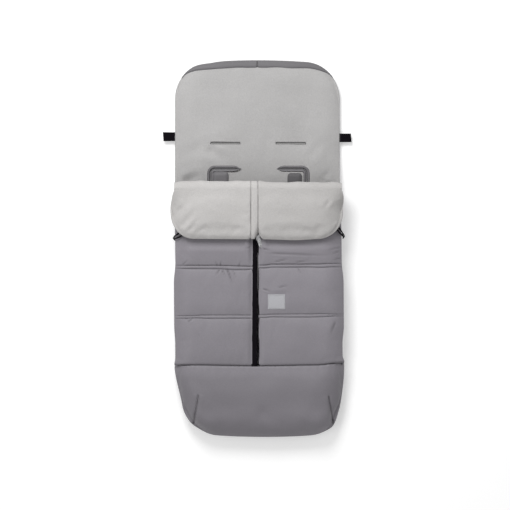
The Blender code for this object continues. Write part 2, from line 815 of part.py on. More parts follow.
def make_slot_pad(name, side, paints):
    """A small padded patch in the inner corner of the L-shaped slot."""
    x1 = SLOT_OUTER_X - SLOT_OPENING / 2 - SLOT_BINDING - PAD_CLEARANCE
    y1 = SLOT_Y - SLOT_OPENING / 2 - SLOT_BINDING - PAD_CLEARANCE
    x0, y0 = x1 - PAD_WIDTH, y1 - PAD_LENGTH
    low = BACK_HEIGHT + GAP

    def over(x, y):
        rise = [math.sin(math.pi * clamp(share)) ** 0.5 for share in ((abs(x) - x0) / (x1 - x0), (y - y0) / (y1 - y0))]
        return low + PAD_THICKNESS * mix(0.35, 1.0, min(rise))

    shares = (0.0, 0.12, 0.5, 0.88, 1.0)
    plan = [[(side * mix(x0, x1, s), mix(y0, y1, t)) for s in shares] for t in shares]
    sheet(f"slot_pad_{name}", plan, lambda x, y: low, over, paints["nylon"])


# Zips


def make_centre_zip(name, side, paints, axis):
    ends = (FOOT_SEAM_Y + GAP, FOLD_Y - GAP)
    tape_x = (side * (COIL_OUTER + GAP), side * (ZIP_HALF - GAP))
    coil_x = (side * COIL_INNER, side * COIL_OUTER)
    for part, (x0, x1), thickness in (("tape", tape_x, TAPE), ("coil", coil_x, COIL_THICKNESS)):
        sections = [box_section(y, x0, x1, ZIP_Z - thickness / 2, ZIP_Z + thickness / 2) for y in ends]
        attach(swept(f"centre_zip_{part}_{name}", sections, paints["zip"]), axis)


def make_zip_guard(paints, axis):
    """The flap behind the centre zip, on the left half's lining."""
    high = COVER_UNDER - GAP
    ends = (FOOT_SEAM_Y + GAP, FOLD_Y - GAP)
    sections = [box_section(y, -GUARD_REACH, -COIL_INNER, high - GUARD_THICKNESS, high) for y in ends]
    attach(swept("zip_guard", sections, paints["lining"]), axis)


def side_band(name, side, ys, inset, thickness, z0, z1, paint):
    """A strip along the bag's edge, at a distance in from the outline, between two heights of the bag's edge."""
    sections = []
    for y in ys:
        x = half_width(y) - inset
        sections.append(box_section(y, side * (x - thickness / 2), side * (x + thickness / 2), z0(y), z1(y)))
    return swept(name, sections, paint)


def side_zip_levels():
    """How far below and above the zip's middle the coils and tapes lie."""
    coil_near, coil_far = COIL_INNER, COIL_OUTER
    return coil_near, coil_far, coil_far + GAP, SIDE_ZIP_HEIGHT / 2 - GAP


def make_side_zip_on_back(name, side, paints):
    near, far, tape_near, tape_far = side_zip_levels()
    last = FOLD_Y - GAP
    ys = [FOOT_SEAM_Y + GAP] + [y for y in straight_rows() if FOOT_SEAM_Y + GAP < y < last] + [last]

    def rim(y):
        inner = half_width(y) - SIDE_ZIP_INSET - COIL_THICKNESS / 2
        return max(back_over(inner, y), back_over(half_width(y), y))

    def level(below):
        return lambda y: rim(y) + SIDE_ZIP_HEIGHT / 2 - below

    tape = (SIDE_ZIP_INSET, TAPE, level(tape_far), level(tape_near))
    coil = (SIDE_ZIP_INSET, COIL_THICKNESS, level(far), level(near))
    side_band(f"back_zip_tape_{name}", side, ys, *tape, paints["zip"])
    side_band(f"back_zip_coil_{name}", side, ys, *coil, paints["zip"])


def make_side_zip_on_cover(name, side, paints, axis):
    near, far, tape_near, tape_far = side_zip_levels()
    ys = [FOOT_SEAM_Y + GAP] + neck_rows() + [FOLD_Y - GAP]

    def level(above):
        return lambda y: SIDE_ZIP_Z + above

    tape = (SIDE_ZIP_INSET, TAPE, level(tape_near), level(tape_far))
    coil = (SIDE_ZIP_INSET, COIL_THICKNESS, level(near), level(far))
    attach(side_band(f"side_zip_tape_{name}", side, ys, *tape, paints["zip"]), axis)
    attach(side_band(f"side_zip_coil_{name}", side, ys, *coil, paints["zip"]), axis)


def slider_boxes(bridge_length, bridge_width, eye):
    """Boxes of a slider in its own frame: travel along Y, the zip's plane at height 0, the bridge on top."""
    inside = COIL_THICKNESS / 2 + GAP
    half_length, half_wide = SLIDER_LENGTH / 2, SLIDER_WIDTH / 2
    top = inside + SLIDER_PLATE
    bridge_top = top + eye + BRIDGE_WALL
    x, y = bridge_width / 2, bridge_length / 2
    boxes = [
        ((-half_wide, -half_length, inside), (half_wide, half_length, top)),
        ((-half_wide, -half_length, -top), (half_wide, half_length, -inside)),
        ((-SLIDER_POST / 2, half_length - SLIDER_POST_LENGTH, -inside), (SLIDER_POST / 2, half_length, inside)),
    ]
    return boxes, top, bridge_top, x, y


def make_centre_slider(paints, axis):
    eye_half = CENTRE_EYE / 2
    boxes, top, bridge_top, x, _ = slider_boxes(CENTRE_EYE + 2 * BRIDGE_WALL, CENTRE_BRIDGE_WIDTH, CENTRE_EYE)
    for start in (-eye_half - BRIDGE_WALL, eye_half):
        boxes.append(((-x, start, top), (x, start + BRIDGE_WALL, bridge_top)))
    boxes.append(((-x, -eye_half, bridge_top - BRIDGE_WALL), (x, eye_half, bridge_top)))
    move = Vector((0, SLIDER_Y, ZIP_Z))
    placed = [(Vector(low) + move, Vector(high) + move) for low, high in boxes]
    attach(blocks("centre_slider", placed, paints["metal"]), axis)
    return ZIP_Z + top + eye_half


def make_side_slider(name, side, paints, axis):
    """The same slider turned on its edge, with a bridge whose eye runs along the zip."""
    eye = LOOP_CORD + 2 * GAP
    boxes, top, bridge_top, _, y = slider_boxes(SIDE_BRIDGE_LENGTH, 0, eye)
    for start in (-eye / 2 - BRIDGE_WALL, eye / 2):
        boxes.append(((start, -y, top), (start + BRIDGE_WALL, y, bridge_top)))
    boxes.append(((-eye / 2, -y, bridge_top - BRIDGE_WALL), (eye / 2, y, bridge_top)))
    placed = []
    for low, high in boxes:
        ends = sorted((side * (SIDE_ZIP_X + z)) for z in (low[2], high[2]))
        placed.append(
            (
                (ends[0], SIDE_SLIDER_Y + low[1], SIDE_ZIP_Z + low[0]),
                (ends[1], SIDE_SLIDER_Y + high[1], SIDE_ZIP_Z + high[0]),
            )
        )
    attach(blocks(f"side_slider_{name}", placed, paints["plastic"]), axis)


def slider_top():
    return COIL_THICKNESS / 2 + GAP + SLIDER_PLATE


def make_centre_pull(paints, place, parent):
    """A flat tab with a window for the slider's bridge, made in its own frame and turned a little."""
    bar = PULL_BAR / 2
    head, wide = PULL_HEAD_WIDTH / 2, PULL_WIDTH / 2
    tip = PULL_LENGTH - wide
    arc = [(wide * math.cos(math.radians(a)), -tip - wide * math.sin(math.radians(a))) for a in range(0, 181, 30)]
    outline = [(-head, bar), (head, bar)] + arc
    vertices, faces = prism_mesh([outline], -PULL_THICKNESS / 2, PULL_THICKNESS / 2)
    pull = add_object("centre_pull", vertices, faces, paints["metal"])
    window = PULL_WINDOW_WIDTH / 2
    reach = math.hypot(CENTRE_EYE / 2 + BRIDGE_WALL, CENTRE_EYE / 2 + BRIDGE_WALL) + GAP
    hole = []
    for k in range(12):
        turn = math.pi * k / 6
        hole.append((PULL_HOLE_RADIUS * math.cos(turn), -tip + PULL_HOLE_RADIUS * math.sin(turn)))
    square = [(-window, -bar), (-window, -reach), (window, -reach), (window, -bar)]
    vertices, faces = prism_mesh([square, hole], -PULL_THICKNESS, PULL_THICKNESS)
    cutter = make_cutter("pull_cutter", vertices, faces, paints["metal"])
    cut(pull, cutter)
    for thing in (pull, cutter):
        thing.rotation_euler = (0, 0, PULL_TURN)
        thing.parent = parent
        thing.location = Vector(place) - Vector(parent["place"])


def loop_profile():
    """Heights of the side loop's cord as it climbs the side of the cover and lies over its shoulder."""
    out = SIDE_ZIP_X + slider_top() + GAP + LOOP_CORD / 2
    rise = COVER_RIM_LOW + COVER_RIM_THICKNESS
    clear = LOOP_CORD / 2 + 2 * GAP
    path = [(out, mix(SIDE_ZIP_Z, rise, share)) for share in (0.0, 0.25, 0.6, 1.0)]
    half = LEG_WIDTH / 2
    for share in (0.12, 0.4, 0.7, 1.0):
        x = out - LOOP_REACH * share
        near = clamp(1 - (half - x) / COVER_EDGE_DEPTH)
        drop = (CROWN_LEVEL - rise) * near**2.4
        slope = (CROWN_LEVEL - rise) * 2.4 * near**1.4 / COVER_EDGE_DEPTH
        path.append((x, CROWN_LEVEL - drop + clear * math.hypot(1, slope)))
    return path


def make_side_pull(name, side, paints, axis):
    """A loop of cord through the side slider's bridge."""
    path = loop_profile()
    half = LOOP_WIDTH / 2
    bend = LOOP_CORD / 2 + GAP
    start, end = path[0], path[-1]
    points = [(start[0], 0.0, start[1])]
    points += [(start[0], half - bend, start[1]), (start[0], half - 0.3 * bend, start[1] + 0.3 * bend)]
    points += [(x, half, z) for x, z in path[1:-1]]
    closing = [(end[0], half * math.cos(math.radians(a)), end[1]) for a in range(0, 181, 30)]
    before = path[-2]
    run = math.hypot(end[0] - before[0], end[1] - before[1])
    along = ((end[0] - before[0]) / run, (end[1] - before[1]) / run)
    for k, (x, y, z) in enumerate(closing):
        out = 0.6 * half * math.sin(math.radians(30 * k))
        closing[k] = (x + along[0] * out, y, z + along[1] * out)
    points += closing
    points += [(x, -half, z) for x, z in reversed(path[1:-1])]
    points += [(start[0], -half + 0.3 * bend, start[1] + 0.3 * bend), (start[0], -half + bend, start[1])]
    curve = bpy.data.curves.new(f"side_pull_{name}", "CURVE")
    curve.dimensions = "3D"
    curve.bevel_depth = LOOP_CORD / 2
    curve.bevel_resolution = 1
    line = curve.splines.new("POLY")
    line.points.add(len(points) - 1)
    for point, (x, y, z) in zip(line.points, points):
        point.co = (side * x, SIDE_SLIDER_Y + y, z, 1)
    line.use_cyclic_u = True
    curve.materials.append(paints["zip"])
    loop = bpy.data.objects.new(f"side_pull_{name}", curve)
    bpy.context.scene.collection.objects.link(loop)
    attach(loop, axis)


# The whole bag


def make_materials():
    return {
        "shell": make_material("grey_nylon", (0.235, 0.223, 0.245), 0.5),
        "nylon": make_material("dark_grey_nylon", (0.200, 0.190, 0.210), 0.55),
        "wadding": make_material("white_wadding", (0.85, 0.85, 0.83), 0.95),
        "lining": make_material("pale_plush", (0.480, 0.470, 0.465), 0.95),
        "zip": make_material("black_woven", (0.010, 0.010, 0.012), 0.7),
        "plastic": make_material("black_plastic", (0.010, 0.010, 0.012), 0.45),
        "metal": make_material("silver_metal", (0.750, 0.750, 0.760), 0.25, 1.0),
        "patch": make_material("pale_patch", (0.440, 0.440, 0.460), 0.6),
    }


def make_half(name, side, paints):
    """One half of the cover with its collar, zips and sliders, on its hinge at the foot seam."""
    middle = side * LEG_WIDTH / 4
    flap = add_axis(f"cover_{name}_axis", (middle, FOOT_SEAM_Y, FLAP_AXIS_Z))
    fold = add_axis(f"collar_{name}_axis", (middle, FOLD_Y, FOLD_AXIS_Z), flap)
    slide = add_axis(f"side_slider_{name}_axis", (side * SIDE_ZIP_X, SIDE_SLIDER_Y, SIDE_ZIP_Z), flap)
    loop = add_axis(f"side_pull_{name}_axis", (side * loop_profile()[0][0], SIDE_SLIDER_Y, SIDE_ZIP_Z), slide)
    make_cover(name, side, paints, flap)
    make_centre_zip(name, side, paints, flap)
    make_side_zip_on_cover(name, side, paints, flap)
    make_collar_fold(name, side, paints, flap)
    make_collar(name, side, paints, fold)
    make_collar_zip(name, side, paints, fold)
    make_side_slider(name, side, paints, slide)
    make_side_pull(name, side, paints, loop)
    return flap, fold


def main():
    clear_scene()
    paints = make_materials()
    make_back(paints, make_slot_cutter(paints))
    make_bindings(paints)
    make_foot(paints)
    make_rear_pocket(paints)
    flaps, folds = {}, {}
    for name, side in SIDES.items():
        make_head_band(name, side, paints)
        make_side_tab(name, side, paints)
        make_slot_pad(name, side, paints)
        make_side_zip_on_back(name, side, paints)
        flaps[name], folds[name] = make_half(name, side, paints)
    make_zip_guard(paints, flaps["left"])
    make_collar_guard(paints, folds["left"])
    make_label_patch(paints, flaps["right"])
    slide = add_axis("centre_slider_axis", (0, SLIDER_Y, ZIP_Z), flaps["right"])
    pull_z = make_centre_slider(paints, slide)
    make_centre_pull(paints, (0, SLIDER_Y, pull_z), slide)


main()
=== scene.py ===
"""The dressed stroller footmuff: padded fabric, zips, stitching and light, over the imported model's frame.

+Y points to the head end, +X to the right half of the cover and +Z up. Lengths are in metres, and in
millimetres in the tables of creases, seams and bindings.
"""

import math
from functools import partial

import bmesh
import bpy
import numpy as np
from mathutils import Matrix, Vector


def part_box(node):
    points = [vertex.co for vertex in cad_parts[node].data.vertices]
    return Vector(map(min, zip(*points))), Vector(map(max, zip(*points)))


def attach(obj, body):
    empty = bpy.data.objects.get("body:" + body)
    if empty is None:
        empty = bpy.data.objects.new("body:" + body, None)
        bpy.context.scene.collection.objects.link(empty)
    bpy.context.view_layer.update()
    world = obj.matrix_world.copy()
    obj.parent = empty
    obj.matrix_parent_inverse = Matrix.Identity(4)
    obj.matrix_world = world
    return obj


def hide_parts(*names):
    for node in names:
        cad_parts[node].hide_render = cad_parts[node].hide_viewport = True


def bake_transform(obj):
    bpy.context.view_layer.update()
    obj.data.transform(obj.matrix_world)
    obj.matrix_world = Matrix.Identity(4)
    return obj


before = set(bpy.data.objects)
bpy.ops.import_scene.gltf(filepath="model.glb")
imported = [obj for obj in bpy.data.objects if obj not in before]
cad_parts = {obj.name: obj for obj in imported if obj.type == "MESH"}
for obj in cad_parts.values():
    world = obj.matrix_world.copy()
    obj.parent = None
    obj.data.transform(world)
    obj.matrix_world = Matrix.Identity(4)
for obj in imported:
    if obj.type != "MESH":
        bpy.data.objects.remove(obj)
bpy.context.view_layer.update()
SIDES = {"left": -1, "right": 1}

# Sizes of the solids
HEAD_END, FOOT_END = 0.489, -0.489
HEAD_WIDTH, LEG_WIDTH, FOOT_WIDTH = 0.429, 0.442, 0.410
FOOT_SEAM_Y, FOLD_Y = -0.303, 0.1535
NECK_Y, NECK_LENGTH, FOOT_TAPER = 0.1055, 0.070, 0.130
RIM_FALL_Y, RIM_FALL_LENGTH = 0.1385, 0.120
SEAM_LEVEL, QUILT_PUFF, FOOT_PUFF = 0.073, 0.009, 0.007
COVER_UNDER, COVER_RIM_LOW, COVER_RIM = 0.060, 0.0503, 0.0077
LEG_RIM_LOW, LEG_RIM, HEAD_RIM_LOW, HEAD_RIM = 0.022, 0.010, 0.008, 0.009
BACK_HEIGHT, SIDE_ZIP_Z, SIDE_ZIP_X = 0.026, 0.04115, 0.2184
COLLAR_END_Y, COLLAR_WIDTH, COLLAR_FOLD_WIDTH = 0.022, 0.447, 0.440
COLLAR_CORNER, COLLAR_UNDER, COLLAR_THICKNESS = 0.055, 0.0825, 0.0205
SIDE_SLIDER_Y, ZIP_HALF, ZIP_Z = 0.023, 0.009, 0.0725
QUILT_ROW, SEAM_GAP = 0.127, 0.004
SEAM_MIDDLES = (FOOT_SEAM_Y + QUILT_ROW, FOOT_SEAM_Y + 2 * QUILT_ROW)
SLIT_X, SLIT_Y, SLIT_LENGTH, OPENING_WIDTH = 0.085, 0.2745, 0.078, 0.005
SLOT_Y, SLOT_CORNER, SLOT_DROP = 0.207, 0.012, 0.082
CROTCH_Y, CROTCH_LENGTH, POCKET_MOUTH_Y = -0.059, 0.100, 0.315
HEAD_CORNER, HEAD_CROWN, FOOT_CORNER, FOOT_CROWN = 0.085, 0.0128, 0.070, 0.010
EDGE_DEPTH, FOOT_EDGE_DEPTH, COLLAR_EDGE_DEPTH = 0.050, 0.055, 0.035
FOOT_RIM, FOOT_RIM_LOW, COLLAR_RIM, FOLD_RIM = 0.0423, 0.0323, 0.007, 0.015
COLLAR_DROOP, COLLAR_DROOP_WIDTH = 0.014, 0.0535
PARTING, COLLAR_GUARD_END, COLLAR_PANEL_START = 0.0004, 0.0184, 0.0187

# How far the padded rims bulge outwards
BACK_BULGE, COVER_BULGE, COLLAR_BULGE = 0.0016, 0.0018, 0.0032

# What differs from the solids: how far in and up the side sliders are shown, and how the foot leans
SIDE_SHIFT, SIDE_RISE = {-1: 0.0046, 1: 0.0}, {-1: 0.0035, 1: 0.0085}
LEAN_Y = (-0.489, -0.473, -0.447, -0.421, -0.395, -0.369, -0.317, -0.250, -0.130, 0.030, 0.100, 0.160)
LEAN_X = (0.0175, 0.0150, 0.0128, 0.0102, 0.0086, 0.0070, 0.0038, 0.0030, 0.0020, 0.0008, -0.0008, -0.0018)


def clip(t):
    return np.clip(t, 0.0, 1.0)


def smooth(t):
    t = clip(t)
    return t * t * (3 - 2 * t)


def mix(a, b, t):
    return a + (b - a) * t


def bell(t, width):
    """1 in the middle, fading over a width on both sides."""
    return np.exp(-((t / width) ** 2))


def surface(x, y, z):
    """A grid of points from grids of their coordinates."""
    return np.stack([x, y, z + 0 * x], 2)


def level_at(height, x, y):
    """What a function of the outline's points gives at a single point."""
    return float(height(np.array([x]), np.array([y]))[0])


def steps(first, last, count):
    return np.linspace(first, last, count)


def rounded_steps(count):
    """From -1 to 1, closest together at both ends."""
    return np.sin(math.pi / 2 * steps(-1, 1, count))


# Outline and heights, as in the solids


def half_width(y):
    """Half the bag's width, which narrows towards the head and the foot."""
    to_head = smooth((y - NECK_Y) / NECK_LENGTH)
    to_foot = smooth((FOOT_SEAM_Y - y) / FOOT_TAPER)
    return (LEG_WIDTH + (HEAD_WIDTH - LEG_WIDTH) * to_head + (FOOT_WIDTH - LEG_WIDTH) * to_foot) / 2


def end_drop(x, half, corner, crown):
    """How far a crowned end with round corners falls back at a distance from the middle."""
    turn = clip((np.abs(x) - (half - corner)) / corner)
    return crown * (x / half) ** 2 + corner * (1 - np.sqrt(1 - turn * turn))


def head_edge(u):
    """The head end, whose left corner falls a little further in the photo."""
    drop = end_drop(u * HEAD_WIDTH / 2, HEAD_WIDTH / 2, HEAD_CORNER, HEAD_CROWN)
    return HEAD_END - 0.0036 * bell(u + 0.62, 0.13) - drop


def foot_edge(u):
    return FOOT_END + end_drop(u * FOOT_WIDTH / 2, FOOT_WIDTH / 2, FOOT_CORNER, FOOT_CROWN)


def nearness(distances, depth):
    """How close a point is to any of several edges, from 0 to 1."""
    total = 0
    for near in distances:
        total = total + clip(1 - near / depth) ** 2.5
    return clip(total**0.4)


def edge(x, y, depth=EDGE_DEPTH):
    """How close a point is to the outline, from 0 to 1."""
    u = np.clip(x / half_width(y), -1, 1)
    return nearness((half_width(y) - np.abs(x), head_edge(u) - y, y - foot_edge(u)), depth)


def rim_fall(y):
    """The back's rim is lower at the head, where no cover lies on it."""
    return smooth((y - RIM_FALL_Y) / RIM_FALL_LENGTH)


def back_under(x, y):
    return mix(LEG_RIM_LOW, HEAD_RIM_LOW, rim_fall(y)) * edge(x, y) ** 2.2


def back_over(x, y):
    rim = mix(LEG_RIM_LOW + LEG_RIM, HEAD_RIM_LOW + HEAD_RIM, rim_fall(y))
    return mix(BACK_HEIGHT, rim, edge(x, y) ** 2)


def seam_lines():
    """Both lines of each quilt seam, the upper one first, from the foot to the fold."""
    return [(middle + SEAM_GAP, middle - SEAM_GAP) for middle in SEAM_MIDDLES]


def row_puff(y):
    """How much the cover puffs up between its quilt seams, from 0 on a seam to the most in the upper row."""
    first, second = SEAM_MIDDLES
    puff = 0.92 * np.sin(math.pi / 2 * clip((y - second - SEAM_GAP) / 0.078)) ** 0.6
    for start, end in ((FOOT_SEAM_Y, first - SEAM_GAP), (first + SEAM_GAP, second - SEAM_GAP)):
        share = clip((y - start) / (end - start))
        puff = np.where((y >= start) & (y <= end), 0.42 * (1 - (1 - np.sin(math.pi * share)) ** 3), puff)
    return puff


def cover_over(x, y):
    level = SEAM_LEVEL + QUILT_PUFF * row_puff(y) * smooth((np.abs(x) - ZIP_HALF) / 0.013)
    return mix(level, COVER_RIM_LOW + COVER_RIM, edge(x, y) ** 2.4)


def cover_under(x, y):
    return mix(COVER_UNDER, COVER_RIM_LOW, edge(x, y) ** 2)


def foot_over(x, y):
    level = SEAM_LEVEL + FOOT_PUFF * np.sin(math.pi / 2 * clip((FOOT_SEAM_Y - y) / 0.090))
    return mix(level, FOOT_RIM, edge(x, y, FOOT_EDGE_DEPTH) ** 2.4)


def foot_under(x, y):
    return mix(COVER_UNDER, FOOT_RIM_LOW, edge(x, y, FOOT_EDGE_DEPTH) ** 2)


def below_fold(y):
    """0 at the collar's fold and 1 lower down."""
    return smooth((FOLD_Y - y) / 0.060)


def collar_half_width(y):
    return mix(COLLAR_WIDTH, COLLAR_FOLD_WIDTH, smooth((y - FOLD_Y + 0.050) / 0.050)) / 2


def collar_drop(x, corner=COLLAR_CORNER, crown=0.002):
    return end_drop(x, COLLAR_WIDTH / 2, corner, crown)


def collar_end(x):
    """The collar's lower edge, with a notch for the centre slider."""
    notch = 0.016 * clip(1 - np.abs(x) / np.where(x > 0, 0.007, 0.009))
    return COLLAR_END_Y + notch + collar_drop(x)


def collar_under(x, y):
    side = clip(1 - (COLLAR_WIDTH / 2 - np.abs(x)) / COLLAR_DROOP_WIDTH)
    return COLLAR_UNDER - COLLAR_DROOP * side**2 * below_fold(y)


def collar_over(x, y):
    near = nearness((collar_half_width(y) - np.abs(x), y - collar_end(x)), COLLAR_EDGE_DEPTH)
    rim = mix(FOLD_RIM, COLLAR_RIM, below_fold(y))
    return collar_under(x, y) + mix(COLLAR_THICKNESS, rim, near**2.2)


# Where the dressed part departs from the solids


def lean(y):
    """The bag's foot end lies a little to the right of its head."""
    return np.interp(y, LEAN_Y, LEAN_X)


def drawn_in(y):
    """The cover is a little narrower beside the collar than lower down, as a share of its width."""
    return 1 - 0.022 * smooth((y + 0.090) / 0.055) * smooth((0.165 - y) / 0.05)


def outer_edge(side, y, bulge=0.0):
    return (half_width(y) - bulge) * drawn_in(y) + side * lean(y)


def zip_edge(side, y):
    """The zip lies a little left of the middle, so the right half of the cover hides more of its tape."""
    down = smooth((0.03 - y) / 0.33)
    return mix(0.0144, 0.0158, down) if side < 0 else mix(0.0016, 0.0028, down)


def above_foot(y):
    return smooth((y - FOOT_SEAM_Y) / 0.02)


def loop_room(x, y):
    """Both edges are drawn in a little where the loops of the side zips end their travel."""
    return np.where(x > 0, 0.0041, 0.0023) * smooth((-0.20 - y) / 0.05) * above_foot(y)


def on_cover(side, x, y, bulge=0.0):
    """Where a point of the solid cover lies across the dressed one."""
    share = (np.abs(x) - ZIP_HALF) / (half_width(y) - ZIP_HALF)
    inner = zip_edge(side, y)
    room = (0.0004 if side > 0 else 0.0012) * smooth((-0.02 - y) / 0.06) * above_foot(y) + loop_room(x, y)
    return side * (inner + share * (outer_edge(side, y, bulge) - room - inner))


def on_back(x, y, bulge=0.0):
    """Where a point of the solid back lies across the dressed one, whose foot corners are rounder."""
    left, right = smooth((-0.09 - x) / 0.06), smooth((x - 0.07) / 0.08)
    corner = left * (0.009 * smooth((-0.450 - y) / 0.028) + 0.0022 * bell(y + 0.455, 0.025))
    corner = corner - right * (0.012 * smooth((-0.460 - y) / 0.026) + 0.0054 * bell(y + 0.436, 0.030))
    across = x / half_width(y)
    return (x - bulge * across) * drawn_in(y) + lean(y) + corner - loop_room(x, y) * across**5


def seam_bow(x, y):
    """How far the foot seam is drawn up or down, fading on both sides of it."""
    bow = 0.0008 - 0.0026 * bell(x, 0.12) + 0.0062 * smooth((x - 0.150) / 0.072)
    return bow * (1 - smooth(np.abs(y - FOOT_SEAM_Y) / 0.045))


def ripples(x, y, wavelength, height, seed, count=14):
    """Soft uneven undulation."""
    own = np.random.default_rng(seed)
    total = np.zeros_like(x)
    for _ in range(count):
        turn, phase = own.uniform(0, 2 * math.pi, 2)
        k = 2 * math.pi / (wavelength * own.uniform(0.7, 1.6))
        total += np.sin(k * (x * math.cos(turn) + y * math.sin(turn)) + phase)
    return height * total / math.sqrt(count)


def beside_line(x, y, x0, y0, x1, y1):
    """How far along a line a point is, as a share of its length, and how far beside it."""
    dx, dy = x1 - x0, y1 - y0
    run = math.hypot(dx, dy)
    return ((x - x0) * dx + (y - y0) * dy) / run**2, ((x - x0) * dy - (y - y0) * dx) / run


def crease(x, y, row, narrow=1.0):
    """A wrinkle's valley with raised flanks, from its start, where it is deepest, fading to its end.

    The row gives, in millimetres, x and y of the start, x and y of the end, depth and width.
    """
    *line, depth, width = (value / 1000 for value in row)
    along, across = beside_line(x, y, *line)
    across = across / (width * narrow)
    fade = smooth((along + 0.12) / 0.22) * (1 - smooth((along - 0.25) / 0.8))
    return depth * fade * (0.55 * bell(np.abs(across) - 1.7, 1.0) - bell(across, 1.0))


def creases(x, y, rows):
    return sum(crease(x, y, row) for row in rows)


# Materials

GLOSS = {"woven": 0.30, "plush": 0.15, "tape": 0.04}
GRAIN_SCALE = {"woven": 260.0, "plush": 420.0, "tape": 500.0}


def feed(tree, node, inputs):
    """Sets a node's inputs, and links those whose value is another node's output."""
    for key, value in inputs.items():
        if hasattr(value, "is_output"):
            tree.links.new(value, node.inputs[key])
        else:
            node.inputs[key].default_value = value
    return node


def add_node(tree, kind, inputs=None, **settings):
    node = tree.nodes.new("ShaderNode" + kind)
    for key, value in settings.items():
        setattr(node, key, value)
    return feed(tree, node, inputs or {})


def maths(tree, operation, a, b):
    return add_node(tree, "Math", {0: a, 1: b}, operation=operation).outputs[0]


def ramp(tree, source, low, high, first, last):
    inputs = {"Value": source, "From Min": low, "From Max": high, "To Min": first, "To Max": last}
    return add_node(tree, "MapRange", inputs).outputs["Result"]


def new_paint(name, colour):
    paint = bpy.data.materials.new(name)
    paint.use_nodes = True
    paint.diffuse_color = (*colour, 1.0)
    return paint, paint.node_tree, paint.node_tree.nodes["Principled BSDF"]


def opaque(colour, share=1.0):
    return tuple(min(1.0, c * share) for c in colour) + (1.0,)


def make_fabric(name, colour, rough, spread, kind, sheen=0.0, dark=0.45, shade=None):
    """A procedural fabric: woven, plush or tape, with uneven colour, darker seams, and painted shade from its
    seam_and_shade attribute and, where given, its shade ramp.
    """
    paint, tree, shader = new_paint(name, colour)
    place = add_node(tree, "TexCoord").outputs["Object"]
    plush = kind == "plush"

    def noise(scale, detail, roughness=0.5):
        inputs = {"Vector": place, "Scale": scale, "Detail": detail, "Roughness": roughness}
        return add_node(tree, "TexNoise", inputs).outputs["Fac"]

    def bands(direction, scale):
        inputs = {"Vector": place, "Scale": scale, "Distortion": 0.6, "Detail": 1.0, "Detail Scale": 0.6}
        return add_node(tree, "TexWave", inputs, bands_direction=direction).outputs["Fac"]

    def blend(way, factor, a, b):
        return add_node(tree, "Mix", {0: factor, 6: a, 7: b}, data_type="RGBA", blend_type=way).outputs[2]

    def times(a, b):
        return maths(tree, "MULTIPLY", a, b)

    def add(a, b):
        return maths(tree, "ADD", a, b)

    wide = ramp(tree, noise(9.0 if plush else 6.0, 3.0), 0.32, 0.68, 0.0, 1.0)
    tint = blend("MIX", wide, opaque(colour, 1 - spread), opaque(colour, 1 + spread))
    fine = noise(GRAIN_SCALE[kind], 4.0, 0.7)
    grain = ramp(tree, fine, 0.3, 0.7, *((0.90, 1.08) if plush else (0.95, 1.04)))
    tint = blend("MULTIPLY", 1.0, tint, grain)
    # Painted shade: the attribute darkens stitched lines, grooves, creases, gaps and some shaded areas
    # towards a quarter of the colour.
    seam_and_shade = add_node(tree, "Attribute", attribute_name="seam_and_shade").outputs["Fac"]
    tint = blend("MIX", times(seam_and_shade, dark), tint, opaque(colour, 0.25))
    # Painted shade along the object's y, where a ramp is given.
    if shade:
        split = add_node(tree, "SeparateXYZ", {0: place})
        tint = blend("MULTIPLY", 1.0, tint, ramp(tree, split.outputs["Y"], *shade))
    if plush:
        pile = add(fine, times(noise(1400.0, 2.0, 0.6), 0.5))
        height = add(pile, times(noise(75.0, 3.0, 0.6), 1.4))
        strength, distance = 0.55, 0.0012
    elif kind == "woven":
        height = add(add(bands("X", 330.0), bands("Y", 330.0)), times(noise(45.0, 3.0), 1.2))
        strength, distance = 0.12, 0.0005
    else:
        height = add(bands("Y", 250.0), times(bands("X", 420.0), 0.6))
        strength, distance = 0.5, 0.0004
    bump = add_node(tree, "Bump", {"Strength": strength, "Distance": distance, "Height": height})
    feed(tree, shader, {"Base Color": tint, "Normal": bump.outputs["Normal"], "Roughness": rough})
    feed(tree, shader, {"Sheen Weight": sheen, "Sheen Roughness": 0.45, "Specular IOR Level": GLOSS[kind]})
    return paint


def make_hard(name, colour, rough, metallic, wear_and_reflection=0.86, gloss=0.5):
    """A procedural metal or plastic, darker in blotches: uneven tone on the plastic, and painted reflection
    on the metal.
    """
    paint, tree, shader = new_paint(name, colour)
    place = add_node(tree, "TexCoord").outputs["Object"]
    noise = add_node(tree, "TexNoise", {"Vector": place, "Scale": 180.0, "Detail": 4.0}).outputs["Fac"]
    wear_and_reflection_ramp = add_node(tree, "ValToRGB", {"Fac": noise})
    for stop, at, share in zip(wear_and_reflection_ramp.color_ramp.elements, (0.3, 0.75), (wear_and_reflection, 1.0)):
        stop.position = at
        stop.color = opaque(colour, share)
    bump = add_node(tree, "Bump", {"Strength": 0.06, "Distance": 0.0002, "Height": noise})
    feed(tree, shader, {"Base Color": wear_and_reflection_ramp.outputs["Color"], "Normal": bump.outputs["Normal"]})
    feed(tree, shader, {"Roughness": ramp(tree, noise, 0.0, 1.0, rough * 0.8, rough * 1.3)})
    feed(tree, shader, {"Metallic": metallic, "Specular IOR Level": gloss})
    return paint


PLUSH = make_fabric("plush", (0.484, 0.472, 0.464), 0.92, 0.030, "plush", sheen=0.18, dark=0.5)
LINING = make_fabric("lining", (0.398, 0.392, 0.390), 0.92, 0.040, "plush", sheen=0.15, dark=0.9)
